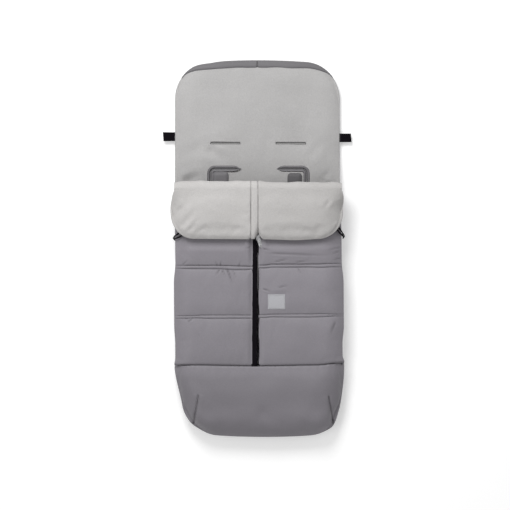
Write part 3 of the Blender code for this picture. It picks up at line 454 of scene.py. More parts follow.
# Painted shade: nylon is painted darker towards the foot end, down to 0.84 of its colour at y -0.48, where
# less light falls.
NYLON_SHADE = (-0.48, 0.0, 0.84, 0.965)
NYLON = make_fabric("nylon", (0.237, 0.224, 0.247), 0.50, 0.035, "woven", dark=0.80, shade=NYLON_SHADE)
TRIM = make_fabric("trim_nylon", (0.150, 0.145, 0.153), 0.60, 0.05, "woven", dark=0.8)
BLACK = make_fabric("black_tape", (0.0056, 0.0046, 0.0066), 0.85, 0.2, "tape")
PATCH = make_fabric("patch_cloth", (0.430, 0.430, 0.452), 0.65, 0.03, "tape")
THREAD = make_fabric("thread", (0.120, 0.114, 0.125), 0.7, 0.05, "tape")
PALE_THREAD = make_fabric("pale_thread", (0.30, 0.29, 0.295), 0.75, 0.05, "tape")
# Painted reflection: the metal's deep blotches, down to 0.36 of its colour, stand in for the pull's uneven
# reflection.
METAL = make_hard("metal", (0.50, 0.50, 0.51), 0.26, 1.0, wear_and_reflection=0.36)
PLASTIC = make_hard("plastic", (0.012, 0.012, 0.014), 0.45, 0.0, gloss=0.3)
COIL = make_hard("coil", (0.003, 0.0025, 0.004), 0.75, 0.0, gloss=0.06)


# Meshes


def new_object(name, data):
    thing = bpy.data.objects.new(name, data)
    bpy.context.scene.collection.objects.link(thing)
    return thing


def dress(thing, body, slot, *nodes, fill=None):
    """Says which body a piece moves with and hides the nodes it stands for; its material slot and how full it
    is are not used.
    """
    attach(thing, body)
    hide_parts(*nodes)
    return thing


def add_mesh(name, vertices, faces, paints, seam_and_shade=None, which=None, angle=58):
    """A mesh whose edges look rounded up to an angle, with the darkness of its seams and of its painted shade
    at each point.
    """
    mesh = bpy.data.meshes.new(name)
    faces = faces.tolist() if isinstance(faces, np.ndarray) else faces
    mesh.from_pydata(np.asarray(vertices, float).tolist(), [], faces)
    for paint in paints:
        mesh.materials.append(paint)
    if which is not None:
        mesh.polygons.foreach_set("material_index", np.asarray(which, np.int32))
    if seam_and_shade is not None:
        layer = mesh.attributes.new("seam_and_shade", "FLOAT", "POINT")
        layer.data.foreach_set("value", np.asarray(seam_and_shade, np.float32).ravel())
    if angle:
        mesh.shade_smooth()
        mesh.set_sharp_from_angle(angle=math.radians(angle))
    mesh.update()
    return new_object(name, mesh)


def outward(thing):
    """Turns every face of a closed mesh outwards."""
    shape = bmesh.new()
    shape.from_mesh(thing.data)
    bmesh.ops.recalc_face_normals(shape, faces=shape.faces)
    shape.to_mesh(thing.data)
    shape.free()
    return thing


def boundary(rows, cols):
    """Indices round the edge of a grid, in order."""
    loop = list(range(cols))
    loop += [r * cols + cols - 1 for r in range(1, rows)]
    loop += [(rows - 1) * cols + c for c in range(cols - 2, -1, -1)]
    loop += [r * cols for r in range(rows - 2, 0, -1)]
    return np.array(loop)


def cells(rows, cols):
    """The index of the first corner of each cell of a grid."""
    r, c = np.meshgrid(np.arange(rows - 1), np.arange(cols - 1), indexing="ij")
    return (r * cols + c).ravel()


def padded_solid(name, top, low, paints, seam_and_shade=None, bulge=0.0, rings=5, flat=None):
    """A closed padded body between two grids of points, with a rounded rim that bulges outwards."""
    rows, cols = top.shape[:2]
    count = rows * cols
    loop = boundary(rows, cols)
    upper, lower = top.reshape(-1, 3), low.reshape(-1, 3)
    ahead = np.roll(upper[loop], -2, 0) - np.roll(upper[loop], 2, 0)
    out = np.stack([ahead[:, 1], -ahead[:, 0], 0 * ahead[:, 0]], 1)
    out /= np.maximum(np.linalg.norm(out, axis=1, keepdims=True), 1e-9)
    if np.sum((upper[loop] - upper.mean(0)) * out) < 0:
        out = -out
    amount = bulge * (flat(upper[loop]) if flat else np.ones(len(loop)))
    points = [lower, upper]
    for k in range(1, rings):
        swell = amount * math.sin(math.pi * k / rings) ** 0.8
        points.append(mix(lower[loop], upper[loop], k / rings) + out * swell[:, None])
    a = cells(rows, cols)
    grid = np.stack([a, a + cols, a + cols + 1, a + 1], 1)
    between = [2 * count + k * len(loop) + np.arange(len(loop)) for k in range(rings - 1)]
    ladder = [loop, *between, loop + count]
    sides = [np.stack([p, np.roll(p, -1), np.roll(q, -1), q], 1) for p, q in zip(ladder, ladder[1:])]
    lined = len(paints) > 1
    which = [np.full(len(grid), int(lined)), np.zeros(len(grid), int)]
    which += [np.full(len(loop), int(lined and k < rings // 2)) for k in range(rings)]
    marks = np.zeros(2 * count + (rings - 1) * len(loop))
    if seam_and_shade is not None:
        marks[count : 2 * count] = seam_and_shade.ravel()
    faces = np.concatenate([grid, grid[:, ::-1] + count, *sides])
    return outward(add_mesh(name, np.concatenate(points), faces, paints, marks, np.concatenate(which)))


def held_rim(shape, firm=(0, -1), soft=()):
    """How firmly each point of a cloth is held: by its sides and firm rows, and half as much beside them."""
    held = np.zeros(shape)
    held[list(firm)] = 1
    held[:, [0, -1]] = 1
    held[list(soft)] = 0.5
    held[:, [1, -2]] = 0.5
    return held


CLOTH_FRAMES = 20
CLOTH_SETTINGS = {
    "quality": 6,
    "mass": 0.25,
    "tension_stiffness": 12.0,
    "compression_stiffness": 12.0,
    "shear_stiffness": 4.0,
    "bending_stiffness": 0.4,
    "air_damping": 2.0,
    "vertex_group_mass": "pin",
    "pin_stiffness": 1.0,
    "use_pressure": True,
}


def relax(points, held, expand, pressure, cap):
    """Where a pinned grid of cloth moves to when it is a little too large and blown up from beneath."""
    rows, cols = points.shape[:2]
    a = cells(rows, cols)
    faces = np.stack([a, a + 1, a + cols + 1, a + cols], 1)
    thing = add_mesh("cloth_trial", points.reshape(-1, 3), faces, [PLUSH])
    group = thing.vertex_groups.new(name="pin")
    for weight in (1.0, 0.5):
        group.add(np.flatnonzero(held.ravel() == weight).tolist(), weight, "REPLACE")
    cloth = thing.modifiers.new("cloth", "CLOTH")
    for key, value in CLOTH_SETTINGS.items():
        setattr(cloth.settings, key, value)
    cloth.settings.shrink_min = -expand
    cloth.settings.uniform_pressure_force = pressure
    cloth.settings.effector_weights.gravity = 0.0
    cloth.point_cache.frame_start = 1
    cloth.point_cache.frame_end = CLOTH_FRAMES
    scene = bpy.context.scene
    for number in range(1, CLOTH_FRAMES + 1):
        scene.frame_set(number)
    done = thing.evaluated_get(bpy.context.evaluated_depsgraph_get())
    placed = np.empty(rows * cols * 3)
    done.data.vertices.foreach_get("co", placed)
    move = placed.reshape(points.shape) - points
    move = move * np.minimum(1.0, cap / np.maximum(np.linalg.norm(move, axis=2, keepdims=True), 1e-9))
    mesh = thing.data
    bpy.data.objects.remove(thing)
    bpy.data.meshes.remove(mesh)
    scene.frame_set(1)
    around = move[:-2, 1:-1] + move[2:, 1:-1] + move[1:-1, :-2] + move[1:-1, 2:]
    move[1:-1, 1:-1] = 0.6 * move[1:-1, 1:-1] + 0.1 * around
    return move


def sample(field, r, c):
    """Smooth values between the cells of a grid, at fractional rows and columns."""
    rows, cols = field.shape[:2]

    def weights(t):
        first, second = ((-t + 2) * t - 1) * t / 2, ((3 * t - 5) * t * t + 2) / 2
        third, last = ((-3 * t + 4) * t + 1) * t / 2, ((t - 1) * t * t) / 2
        return first, second, third, last

    r0, c0 = np.clip(np.floor(r), 0, rows - 2).astype(int), np.clip(np.floor(c), 0, cols - 2).astype(int)
    wr, wc = weights(r - r0), weights(c - c0)
    total = 0
    for i in range(4):
        for j in range(4):
            rr, cc = np.clip(r0 + i - 1, 0, rows - 1), np.clip(c0 + j - 1, 0, cols - 1)
            total = total + field[rr, cc] * (wr[i] * wc[j])[..., None]
    return total


def loft(name, sections, paint, closed=False, seam_and_shade=None):
    """A closed tube through matching closed sections."""
    count, size = len(sections), len(sections[0])
    vertices = np.concatenate([np.asarray(s, float) for s in sections])
    faces = []
    for s in range(count if closed else count - 1):
        t = (s + 1) % count
        for k in range(size):
            n = (k + 1) % size
            faces.append((s * size + k, s * size + n, t * size + n, t * size + k))
    if not closed:
        faces += [tuple(range(size)), tuple(range((count - 1) * size, count * size))]
    return outward(add_mesh(name, vertices, faces, [paint], seam_and_shade, angle=50))


def ring_round(middle, first, second, count, turned=0.0):
    """Points round a middle, in the plane of two directions."""
    angles = [turned + 2 * math.pi * k / count for k in range(count)]
    return [middle + first * math.cos(angle) + second * math.sin(angle) for angle in angles]


def cord(name, path, radius, paint, sides=10):
    """A closed round cord along a path of points, as thick at each as its radius says."""
    sections = []
    normal = np.cross(path[1] - path[-1], (0.3, 0.2, 1.0))
    for before, here, after, size in zip(np.roll(path, 1, 0), path, np.roll(path, -1, 0), radius):
        along = (after - before) / np.linalg.norm(after - before)
        normal = normal - along * np.dot(normal, along)
        normal /= np.linalg.norm(normal)
        sections.append(ring_round(here, size * normal, size * np.cross(along, normal), sides))
    return loft(name, sections, paint, closed=True)


def stitches(name, path, body, paint, pitch=0.0034, share=0.68, radius=0.00035, lift=0.0002):
    """Short threads along a row of points, with gaps between them."""
    path = np.asarray(path, float)
    reach = np.concatenate([[0], np.cumsum(np.linalg.norm(np.diff(path, axis=0), axis=1))])
    vertices, faces = [], []
    for k in range(int(reach[-1] / pitch)):
        first, last = (
            np.array([np.interp(s, reach, path[:, axis]) for axis in range(3)])
            for s in (k * pitch, (k + share) * pitch)
        )
        along = (last - first) / max(np.linalg.norm(last - first), 1e-9)
        beside = np.cross(along, (0, 0, 1.0))
        beside /= max(np.linalg.norm(beside), 1e-9)
        up = np.cross(beside, along)
        start = len(vertices)
        for where, size in ((0.0, 0.5), (0.25, 1.0), (0.75, 1.0), (1.0, 0.5)):
            at = mix(first, last, where) + up * (lift - radius * (1 - size))
            vertices += ring_round(at, size * radius * beside, size * radius * up, 4, math.pi / 4)
        for ring in range(start, start + 12, 4):
            for turn in range(4):
                p, q = ring + turn, ring + (turn + 1) % 4
                faces.append((p, q, q + 4, p + 4))
        faces += [tuple(range(start, start + 4)), tuple(range(start + 12, start + 16))]
    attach(outward(add_mesh(name, vertices, faces, [paint])), body)


def box_points(x0, x1, y0, y1, z0, z1, inset):
    """Eight corners of a small block whose top is drawn in."""
    low = [(x0, y0, z0), (x1, y0, z0), (x1, y1, z0), (x0, y1, z0)]
    i = inset
    return low + [(x0 + i, y0 + i, z1), (x1 - i, y0 + i, z1), (x1 - i, y1 - i, z1), (x0 + i, y1 - i, z1)]


BLOCK = [(3, 2, 1, 0), (4, 5, 6, 7), (0, 1, 5, 4), (1, 2, 6, 5), (2, 3, 7, 6), (3, 0, 4, 7)]


def blocks(name, boxes, paint):
    vertices, faces = [], []
    for corners in boxes:
        faces += [tuple(len(vertices) + i for i in face) for face in BLOCK]
        vertices += corners
    return outward(add_mesh(name, vertices, faces, [paint], angle=None))


def prisms(name, outlines, paint):
    """Upright blocks with the given outlines, tall enough to cut through the back."""
    vertices, faces = [], []
    for outline in outlines:
        start, size = len(vertices), len(outline)
        vertices += [(x, y, z) for z in (-0.05, 0.08) for x, y in outline]
        faces += [tuple(range(start, start + size)), tuple(range(start + size, start + 2 * size))]
        for k in range(size):
            a, b = start + k, start + (k + 1) % size
            faces.append((a, b, b + size, a + size))
    return outward(add_mesh(name, vertices, faces, [paint], angle=None))


def apply_cut(thing, cutter):
    modifier = thing.modifiers.new("cut", "BOOLEAN")
    modifier.operation = "DIFFERENCE"
    modifier.solver = "EXACT"
    modifier.object = cutter
    done = thing.evaluated_get(bpy.context.evaluated_depsgraph_get())
    mesh = bpy.data.meshes.new_from_object(done)
    thing.modifiers.clear()
    thing.data = mesh
    bpy.data.objects.remove(cutter)


# Back panel


def slot_round(x, y, length, width, upright=False, count=6):
    """The outline of a slot with round ends."""
    radius = width / 2
    points = []
    for end in (1, -1):
        for k in range(count + 1):
            turn = -math.pi / 2 + math.pi * k / count + (0 if end > 0 else math.pi)
            along = end * (length / 2 - radius) + radius * math.cos(turn)
            beside = radius * math.sin(turn)
            points.append((x - beside, y + along) if upright else (x + along, y + beside))
    return np.array(points)


def slit_outline(side, grow):
    return slot_round(side * SLIT_X, SLIT_Y, SLIT_LENGTH + 2 * grow, OPENING_WIDTH + 2 * grow)


def crotch_outline(grow):
    return slot_round(0, CROTCH_Y, CROTCH_LENGTH + 2 * grow, OPENING_WIDTH + 2 * grow, upright=True)


def slot_path(side, bends=10):
    """The middle line of the L-shaped slot, rounded at its corner."""
    x, tip = (0.1243, 0.049) if side < 0 else (0.1266, 0.053)
    start, top = x - SLOT_CORNER, SLOT_Y - SLOT_CORNER
    points = [(tip + (start - tip) * k / 8, SLOT_Y) for k in range(9)]
    for k in range(1, bends):
        turn = math.pi / 2 * k / bends
        points.append((start + SLOT_CORNER * math.sin(turn), top + SLOT_CORNER * math.cos(turn)))
    points += [(x, top - (SLOT_DROP - SLOT_CORNER) * k / 8) for k in range(9)]
    return np.array([(side * px, py) for px, py in points])


def slot_outline(side, grow):
    """An outline at a distance round the L-shaped slot's own opening."""
    half = OPENING_WIDTH / 2 + grow
    path = slot_path(side)
    ahead = np.gradient(path, axis=0)
    ahead /= np.linalg.norm(ahead, axis=1, keepdims=True)
    width = np.full(len(path), half)
    width[:2] = max(0.35 * half, 0.0004), 0.85 * half
    path[0] -= ahead[0] * min(grow, 0.0)
    beside = np.stack([-ahead[:, 1], ahead[:, 0]], 1) * width[:, None]
    first, last = path[:1] - ahead[:1] * max(grow, 0.0003), path[-1:] + ahead[-1:] * grow
    path[-1] += ahead[-1] * grow
    return np.concatenate([first, path + beside, last, (path - beside)[::-1]])


def back_grid():
    u = rounded_steps(97)
    inner = np.arange(-0.395, 0.380, 0.0055)
    rows = [mix(foot_edge(u), inner[0], s) for s in (0.0, 0.012, 0.05, 0.12, 0.22, 0.34, 0.5, 0.68, 0.84)]
    rows += [np.full_like(u, y) for y in inner]
    to_head = (0.14, 0.28, 0.42, 0.55, 0.67, 0.78, 0.87, 0.94, 0.985, 1.0)
    y = np.array(rows + [mix(inner[-1], head_edge(u), s) for s in to_head])
    return u[None, :] * half_width(y), y


def near_slots(x, y):
    """How close a point is to one of the harness slots, from 0 to 1."""
    total = np.zeros_like(x)
    for side in (-1, 1):
        reach = np.hypot(np.maximum(np.abs(x - side * SLIT_X) - SLIT_LENGTH / 2, 0), y - SLIT_Y)
        total = np.maximum(total, bell(reach, 0.012))
        for px, py in slot_path(side)[::3]:
            total = np.maximum(total, bell(np.hypot(x - px, y - py), 0.016))
    return total


BACK_CREASES = (
    (-190, 245, -70, 300, 1.2, 12),
    (-192, 172, -138, 196, 4.6, 11),
    (-128, 258, -85, 226, 4.2, 12),
    (-135, 245, -75, 300, 1.0, 10),
    (135, 235, 190, 300, 1.2, 10),
    (28, 290, 20, 215, 1.6, 12),
    (150, 400, 60, 412, 1.2, 7),
    (-150, 420, -30, 395, 1.2, 12),
    (120, 330, 100, 390, 1.0, 16),
    (190, 200, 150, 160, 1.5, 7),
    (185, 165, 155, 185, 1.4, 6),
)


def make_back():
    x, y = back_grid()
    inner = 1 - edge(x, y)
    top = back_over(x, y) + creases(x, y, BACK_CREASES) - 0.0010 * near_slots(x, y) * inner
    top = top + ripples(x, y, 0.16, 0.0012, 3) * inner * (0.35 + 0.65 * smooth((y - 0.09) / 0.08))
    top = top + ripples(x, y, 0.055, 0.0004, 4) * inner
    pocket_room = 0.0015 + 0.008 * (1 - edge(x, y) ** 1.5)
    under = back_under(x, y) + pocket_room * clip((y - 0.283) / 0.032)
    under = under + 0.0008 * np.abs(ripples(x, y, 0.09, 1.0, 5)) * clip(edge(x, y, 0.060) * 1.5)
    px = on_back(x, y, BACK_BULGE)
    # Painted shade: the lining below y 0.245, next to the collar's roll, is painted darker.
    marks = 0.14 * smooth((0.245 - y) / 0.05)
    upper, lower = surface(px, y, top), surface(px, y, under)
    body = padded_solid("back_panel", upper, lower, [LINING, NYLON, TRIM], marks, BACK_BULGE, rings=6)
    outlines = [crotch_outline(0.0021)]
    for side in (-1, 1):
        outlines += [slit_outline(side, 0.0016), slot_outline(side, 0.0056)]
    apply_cut(body, prisms("slots", outlines, TRIM))
    dress(body, "back", "pale_plush", "back_shell", "back_wadding", "back_lining", fill=0.5)


# Bindings of the slots, round each opening: how far out, how high above the lining, or None at the
# underside, and how dark, as painted shade deep in the opening, the first two in millimetres
FINE_BINDING = (
    (1.4, None, 0.0),
    (1.4, -1.2, 0.0),
    (0.8, -0.4, 0.0),
    (0.1, -0.4, 0.2),
    (-0.9, -0.9, 0.8),
    (-1.6, -2.6, 1.0),
    (-2.2, -6.0, 1.0),
    (-2.1, -11.0, 1.0),
    (-0.3, -17.0, 0.5),
    (-0.3, None, 0.0),
)
THICK_BINDING = (
    (5.3, None, 0.0),
    (5.3, -1.4, 0.2),
    (4.9, 0.6, 0.0),
    (3.8, 1.9, 0.0),
    (2.4, 2.1, 0.0),
    (0.8, 1.2, 0.0),
    (-0.4, 0.2, 0.1),
    (-1.2, -1.2, 0.4),
    (-2.1, -3.5, 0.8),
    (-2.1, -10.0, 1.0),
    (-0.8, -16.0, 0.5),
    (-0.3, None, 0.0),
)


def rolled_ring(name, outline, profile, paint, node, slot):
    """A binding round a slot, from its outline function and its profile."""
    sections, marks = [], []
    for grow, rise, dark in profile:
        z = 0.0 if rise is None else BACK_HEIGHT + rise / 1000
        sections.append([(px, py, z) for px, py in outline(grow / 1000)])
        marks.append([dark] * len(sections[-1]))
    dress(loft(name, sections, paint, closed=True, seam_and_shade=marks), "back", slot, node)


def make_bindings():
    thread_z = BACK_HEIGHT + 0.0002
    nylon = "dark_grey_nylon"
    for name, side in SIDES.items():
        slit, slot = partial(slit_outline, side), partial(slot_outline, side)
        rolled_ring(f"slit_edge_{name}", slit, FINE_BINDING, LINING, f"slit_binding_{name}", "pale_plush")
        rolled_ring(f"slot_edge_{name}", slot, THICK_BINDING, TRIM, f"slot_binding_{name}", nylon)
        line = slot(0.0003)
        path = [(px, py, thread_z) for px, py in np.concatenate([line, line[:1]])]
        stitches(f"slot_thread_{name}", path, "back", THREAD, pitch=0.003)
        for end in (-1, 1):
            x = side * SLIT_X + end * 0.0382
            bar = [(x, SLIT_Y + s, thread_z) for s in steps(-0.0026, 0.0026, 5)]
            place = "in" if end * side < 0 else "out"
            stitches(f"slit_bar_{name}_{place}", bar, "back", THREAD, pitch=0.0011, share=0.8, radius=0.0008)
    rolled_ring("crotch_edge", crotch_outline, FINE_BINDING, TRIM, "crotch_slot_binding", nylon)


def make_slot_pad(name, side):
    """A flat pad with rounded corners, sewn in the corner of the slot."""
    (x0, y0, z0), (x1, y1, _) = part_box(f"slot_pad_{name}")
    if side < 0:
        x0, y1 = x0 - 0.0042, y1 + 0.0036
    s, t = np.meshgrid(steps(-1, 1, 29), steps(-1, 1, 45))
    round_x, round_y = 0.42, 0.30
    turn = clip((np.abs(t) - 1 + round_y) / round_y)
    width, height = x1 - x0, y1 - y0
    x = (x0 + x1) / 2 + width / 2 * s * (1 - round_x * (1 - np.sqrt(1 - turn**2)))
    y = (y0 + y1) / 2 + height / 2 * t
    near = np.minimum((1 - np.abs(s)) * width / 2, (1 - np.abs(t)) * height / 2)
    line = bell(near - 0.0035, 0.0008)
    top = z0 + 0.0012 + 0.0038 * clip(near / 0.009) ** 0.5 + ripples(x, y, 0.03, 0.0003, 11) - 0.0006 * line
    # Painted shade: the right pad is painted dark all over, the left one a little; the stitched line is
    # darker, partly painted shade in its groove.
    marks = np.maximum(0.75 * line, 0.75 if side > 0 else 0.14)
    upper, lower = surface(x, y, top), surface(x, y, z0)
    pad = padded_solid(f"corner_pad_{name}", upper, lower, [TRIM], marks, bulge=0.0003, rings=3)
    dress(pad, "back", "dark_grey_nylon", f"slot_pad_{name}", fill=0.5)


def make_head_band(name, side):
    """The crescent of nylon round the head end, half of it."""
    middle = 0.0006
    last = math.sin(math.pi / 2 * 7 / 10)
    u = np.concatenate([[middle, 0.003, 0.006, 0.012, 0.02], steps(0.035, last * 1.03, 56)])
    across = u * HEAD_WIDTH / 2
    reaches = mix(0.018, 0.003, clip(u / last) ** 5) + 0.0006 * np.sin(across * 90)
    sections, marks, path = [], [], []
    for x, end, reach in zip(across, head_edge(side * u), reaches):
        sink = 0.0012 * bell(x - middle, 0.0014)
        wrap = []
        for s in steps(0, 1, 9):
            z = float(back_over(np.array([side * x]), np.array([end - reach * s]))[0])
            puff = 0.0018 * math.sin(math.pi * min(1.0, s * 1.05)) + (0.0012 if s < 1 else 0.0001)
            wrap.append((end - reach * s, z + puff - sink))
        rim = ((0.0010, 0.001), (0.0014, 0.004), (0.0011, 0.0075))
        front = [(end + out, HEAD_RIM_LOW + up) for out, up in rim]
        inner = [(end - reach, wrap[-1][1] - 0.003), (end - 0.5 * reach, wrap[4][1] - 0.004)]
        ring = [*front, *wrap, *inner, (end - 0.001, HEAD_RIM_LOW + 0.001)]
        px = side * x + float(lean(end))
        sections.append([(px, py, pz) for py, pz in ring])
        # Darker in the middle where the halves meet, partly painted shade in the gap, and a little darker all
        # over.
        marks.append([max(0.20, bell(x - middle, 0.0011))] * len(ring))
        path.append((px, end - reach + 0.0018, wrap[-2][1] + 0.0001))
    band = loft(f"crescent_band_{name}", sections, TRIM, seam_and_shade=marks)
    dress(band, "back", "dark_grey_nylon", f"head_band_{name}")
    stitches(f"band_thread_{name}", path[2:], "back", THREAD, radius=0.0003)


def make_pocket():
    """The nylon pocket on the rear of the head end."""
    u = rounded_steps(61)
    thickness = 0.0012
    rows = [np.full_like(u, y) for y in np.arange(POCKET_MOUTH_Y, 0.376, 0.006)]
    to_head = (0.14, 0.3, 0.45, 0.6, 0.74, 0.86, 0.95, 1.0)
    y = np.array(rows + [mix(rows[-1], head_edge(u), s) for s in to_head])
    x = u[None, :] * half_width(y)
    gather = np.sin(x * 2 * math.pi / 0.011 + 0.6 * np.sin(x * 40)) * np.exp(-((y - POCKET_MOUTH_Y) / 0.03))
    z = back_under(x, y) + 0.00005 + 0.00081 * np.maximum(gather * (np.abs(x) < 0.19), 0)
    px = on_back(x, y)
    panel = padded_solid("rear_pocket", surface(px, y, z + thickness), surface(px, y, z), [TRIM], rings=2)
    dress(panel, "back", "dark_grey_nylon", "seat_pocket")


def make_pocket_elastic():
    """The gathered elastic along the pocket's mouth."""
    (x0, y0, z0), (x1, y1, z1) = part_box("seat_pocket_elastic")
    s, t = np.meshgrid(steps(0, 1, 161), steps(0, 1, 9))
    x, y = mix(x0, x1, s), mix(y0, y1, t)
    wave = 0.00045 * np.sin(x * 2 * math.pi / 0.006) * np.sin(math.pi * t)
    upper, lower = surface(x, y, z1 - 0.0005 + wave), surface(x, y, z0 + 0.0001)
    strip = padded_solid("pocket_elastic", upper, lower, [BLACK], rings=2)
    dress(strip, "back", "black_woven", "seat_pocket_elastic")


def make_side_tab(name, side):
    """A folded woven tape, a little wider at its free end."""
    (x0, y0, z0), (x1, y1, z1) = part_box(f"side_tab_{name}")
    inner, outer = (x1, x0 - 0.0030) if side < 0 else (x0 - 0.0025, x1 - 0.0010)
    middle_y, half = (y0 + y1) / 2 + (0.0030 if side < 0 else 0.0), (y1 - y0) / 2
    middle_z = (z0 + z1) / 2
    reach = abs(outer - inner)
    ply, slit = 0.0011, 0.0002
    thick = slit + ply
    outside = [(1.0, 0.0), (0.985, ply * 0.75), (0.93, slit + ply * 0.95), (0.6, thick), (0.0, thick)]
    inside = [(0.0, slit), (0.5, slit), (0.93, slit * 0.6)]
    profile = [(s, -z) for s, z in outside[:0:-1]] + outside + inside + [(s, -z) for s, z in inside[::-1]]
    sections = []
    for t in steps(-1, 1, 13):
        ring = []
        for s, z in profile:
            x = inner + side * (reach * s - side * 0.00088 * t * s)
            y = middle_y + half * t * (1 + (0.06 if side < 0 else 0.0) * s)
            ring.append((x, y, middle_z + z + 0.0006 * math.sin(3 * t + 5 * s) * s))
        sections.append(ring)
    dress(loft(f"woven_tab_{name}", sections, BLACK), "back", "black_woven", f"side_tab_{name}")
    x, z = inner + side * 0.003, middle_z + thick + 0.0002
    path = [(x, middle_y + half * 0.9 * s, z) for s in steps(-1, 1, 9)]
    stitches(f"tab_thread_{name}", path, "back", THREAD, pitch=0.0028)


# Foot panel and cover


# The seam line of each dart: x and y of its start and of its end
DARTS = {"left": (-0.1542, -0.3790, -0.1680, -0.4560), "right": (0.1828, -0.3820, 0.1964, -0.4580)}
FOOT_CREASES = (
    (-180, -335, -100, -400, 1.2, 16),
    (60, -455, -50, -400, 1.4, 20),
    (-20, -478, -5, -455, 1.2, 4),
)


def foot_grid():
    u = rounded_steps(181)
    inner = steps(-0.385, FOOT_SEAM_Y - 0.0002, 26)
    to_inner = (0.0, 0.03, 0.08, 0.15, 0.23, 0.32, 0.42, 0.52, 0.62, 0.72, 0.81, 0.9)
    rows = [mix(foot_edge(u), inner[0], s) for s in to_inner]
    rows += [np.full_like(u, y) for y in inner[:-1]]
    rows += [np.full_like(u, FOOT_SEAM_Y - d) for d in (0.0022, 0.0012, 0.0002)]
    y = np.array(rows)
    return u[None, :] * half_width(y), y


def make_foot():
    x, y = foot_grid()
    base = surface(x, y, foot_over(x, y))
    coarse = base[:, ::2]
    held = held_rim(coarse.shape[:2], firm=(0, -1, -2, -3), soft=(1,))
    move = relax(coarse, held, 0.006, 1.2, 0.004)
    r, c = np.meshgrid(np.arange(x.shape[0]), np.arange(x.shape[1]) / 2, indexing="ij")
    move = sample(move, r, c)
    from_seam = FOOT_SEAM_Y - y
    below_seam = smooth(from_seam / 0.075)
    px, py = on_back(x + move[..., 0], y, COVER_BULGE), y + move[..., 1]
    top = base[..., 2] + move[..., 2] * mix(0.1, 1.0, below_seam) + creases(x, y, FOOT_CREASES)
    top = top + ripples(x, y, 0.11, 0.0012, 21) * (1 - edge(x, y, FOOT_EDGE_DEPTH)) * below_seam
    gather = 0.0005 * np.sin(x * 2 * math.pi / 0.019 + 3 * np.sin(x * 31)) * np.exp(-(from_seam / 0.012))
    top = top + gather * (np.abs(x) > 0.012) - 0.0028 * bell(from_seam, 0.0023)
    top = top - 0.0026 * bell(x - 0.010, 0.045) * bell(y + 0.334, 0.026)
    # Painted shade: the middle of the foot panel, y from -0.315 to -0.445, is painted darker; the join line
    # is darker, partly painted shade in its groove.
    marks = 0.25 * smooth((-0.315 - y) / 0.03) * smooth((y + 0.445) / 0.045)
    marks = np.maximum(marks, 0.9 * bell(from_seam, 0.0013))
    for dart in DARTS.values():
        along, across = beside_line(px, py, *dart)
        inside = smooth((along + 0.02) / 0.06) * smooth((1.15 - along) / 0.1)
        top = top + inside * (0.0014 * bell(np.abs(across) - 0.009, 0.006) - 0.0034 * bell(across, 0.0019))
        # The dart's line is darker, partly painted shade in its groove.
        marks = np.maximum(marks, inside * bell(across, 0.0018))
    low_x = on_back(x, y, COVER_BULGE)
    upper = surface(px, py + seam_bow(px, y), top)
    lower = surface(low_x, y + seam_bow(low_x, y), foot_under(x, y))

    def flat(points):
        return 1.0 * (points[:, 1] < FOOT_SEAM_Y - 0.003)

    pad = padded_solid("foot_panel", upper, lower, [NYLON, PLUSH], marks, COVER_BULGE, 7, flat)
    dress(pad, "back", "grey_nylon", "foot_shell", "foot_wadding", "foot_lining", fill=0.6)


def make_dart_threads():
    for name, (x0, y0, x1, y1) in DARTS.items():
        path = []
        for s in steps(0.0, 1.0, 24):
            x, y = mix(x0, x1, s), mix(y0, y1, s)
            path.append((x, y, level_at(foot_over, x - float(lean(y)), y) - 0.0012))
        stitches(f"dart_thread_{name}", path, "back", THREAD, radius=0.00045)


# How far the two lines of each seam are drawn up, the lower line first, from the foot to the fold:
# distance from the middle and rise, in millimetres
SEAM_RISE = {
    "left": (
        ((20, -2.7), (75, -2.7), (85, -3.1), (135, -3.1), (160, -1.5), (185, -2.7)),
        ((20, -1.0), (145, -1.0), (165, -2.7), (220, -2.7)),
        ((20, -2.8), (35, -3.6), (65, -3.6), (100, -1.1), (165, -0.8), (216, -0.3)),
        ((20, -1.6), (50, -0.8), (100, 0.8), (220, 0.8)),
    ),
    "right": (
        ((18, -0.7), (37, 1.1), (80, 0.5), (140, 0.5), (170, 1.5), (195, 3.3)),
        ((18, -0.4), (37, 1.1), (95, 1.8), (140, 1.8), (170, 2.5), (195, 1.4)),
        ((19, 1.3), (34, 3.2), (90, 3.2), (130, 3.8), (160, 2.7), (195, 4.2)),
        ((19, 1.0), (34, 3.5), (130, 3.5), (158, 3.9), (195, 5.4)),
    ),
}
COVER_CREASES = {
    "left": (
        (-105, -47, -112, -31, 2.2, 3.0),
        (-98, -46, -94, -28, 1.6, 2.6),
        (-50, -46, -44, -30, 1.8, 2.8),
        (-100, -55, -109, -72, 2.0, 3.2),
        (-79, -54, -62, -94, 3.4, 3.6),
        (-92, -55, -82, -76, 1.8, 2.8),
        (-64, -55, -55, -78, 1.5, 3.0),
        (-15, 6, -34, 0, 1.8, 2.6),
        (-13, -108, -22, -124, 2.2, 4.0),
        (-180, -188, -165, -180, 1.4, 3.0),
        (-195, -42, -180, -30, 1.4, 3.0),
    ),
    "right": (
        (13, -2, 36, -8, 2.2, 2.8),
        (14, -106, 36, -116, 2.2, 3.0),
        (55, -104, 80, -98, 1.2, 3.6),
        (40, -16, 200, -22.5, 1.3, 4.4),
        (213, -1, 180, -8.5, 1.8, 3.2),
        (105, -57, 112, -70, 2.0, 2.8),
        (210, -12, 185, -22, 1.8, 3.2),
        (213, -30, 190, -36, 1.4, 3.2),
        (46, -38.5, 84, -29, 1.5, 3.6),
        (100, -40, 135, -34, 1.2, 3.4),
        (200, -195, 185, -230, 1.0, 6.0),
    ),
}


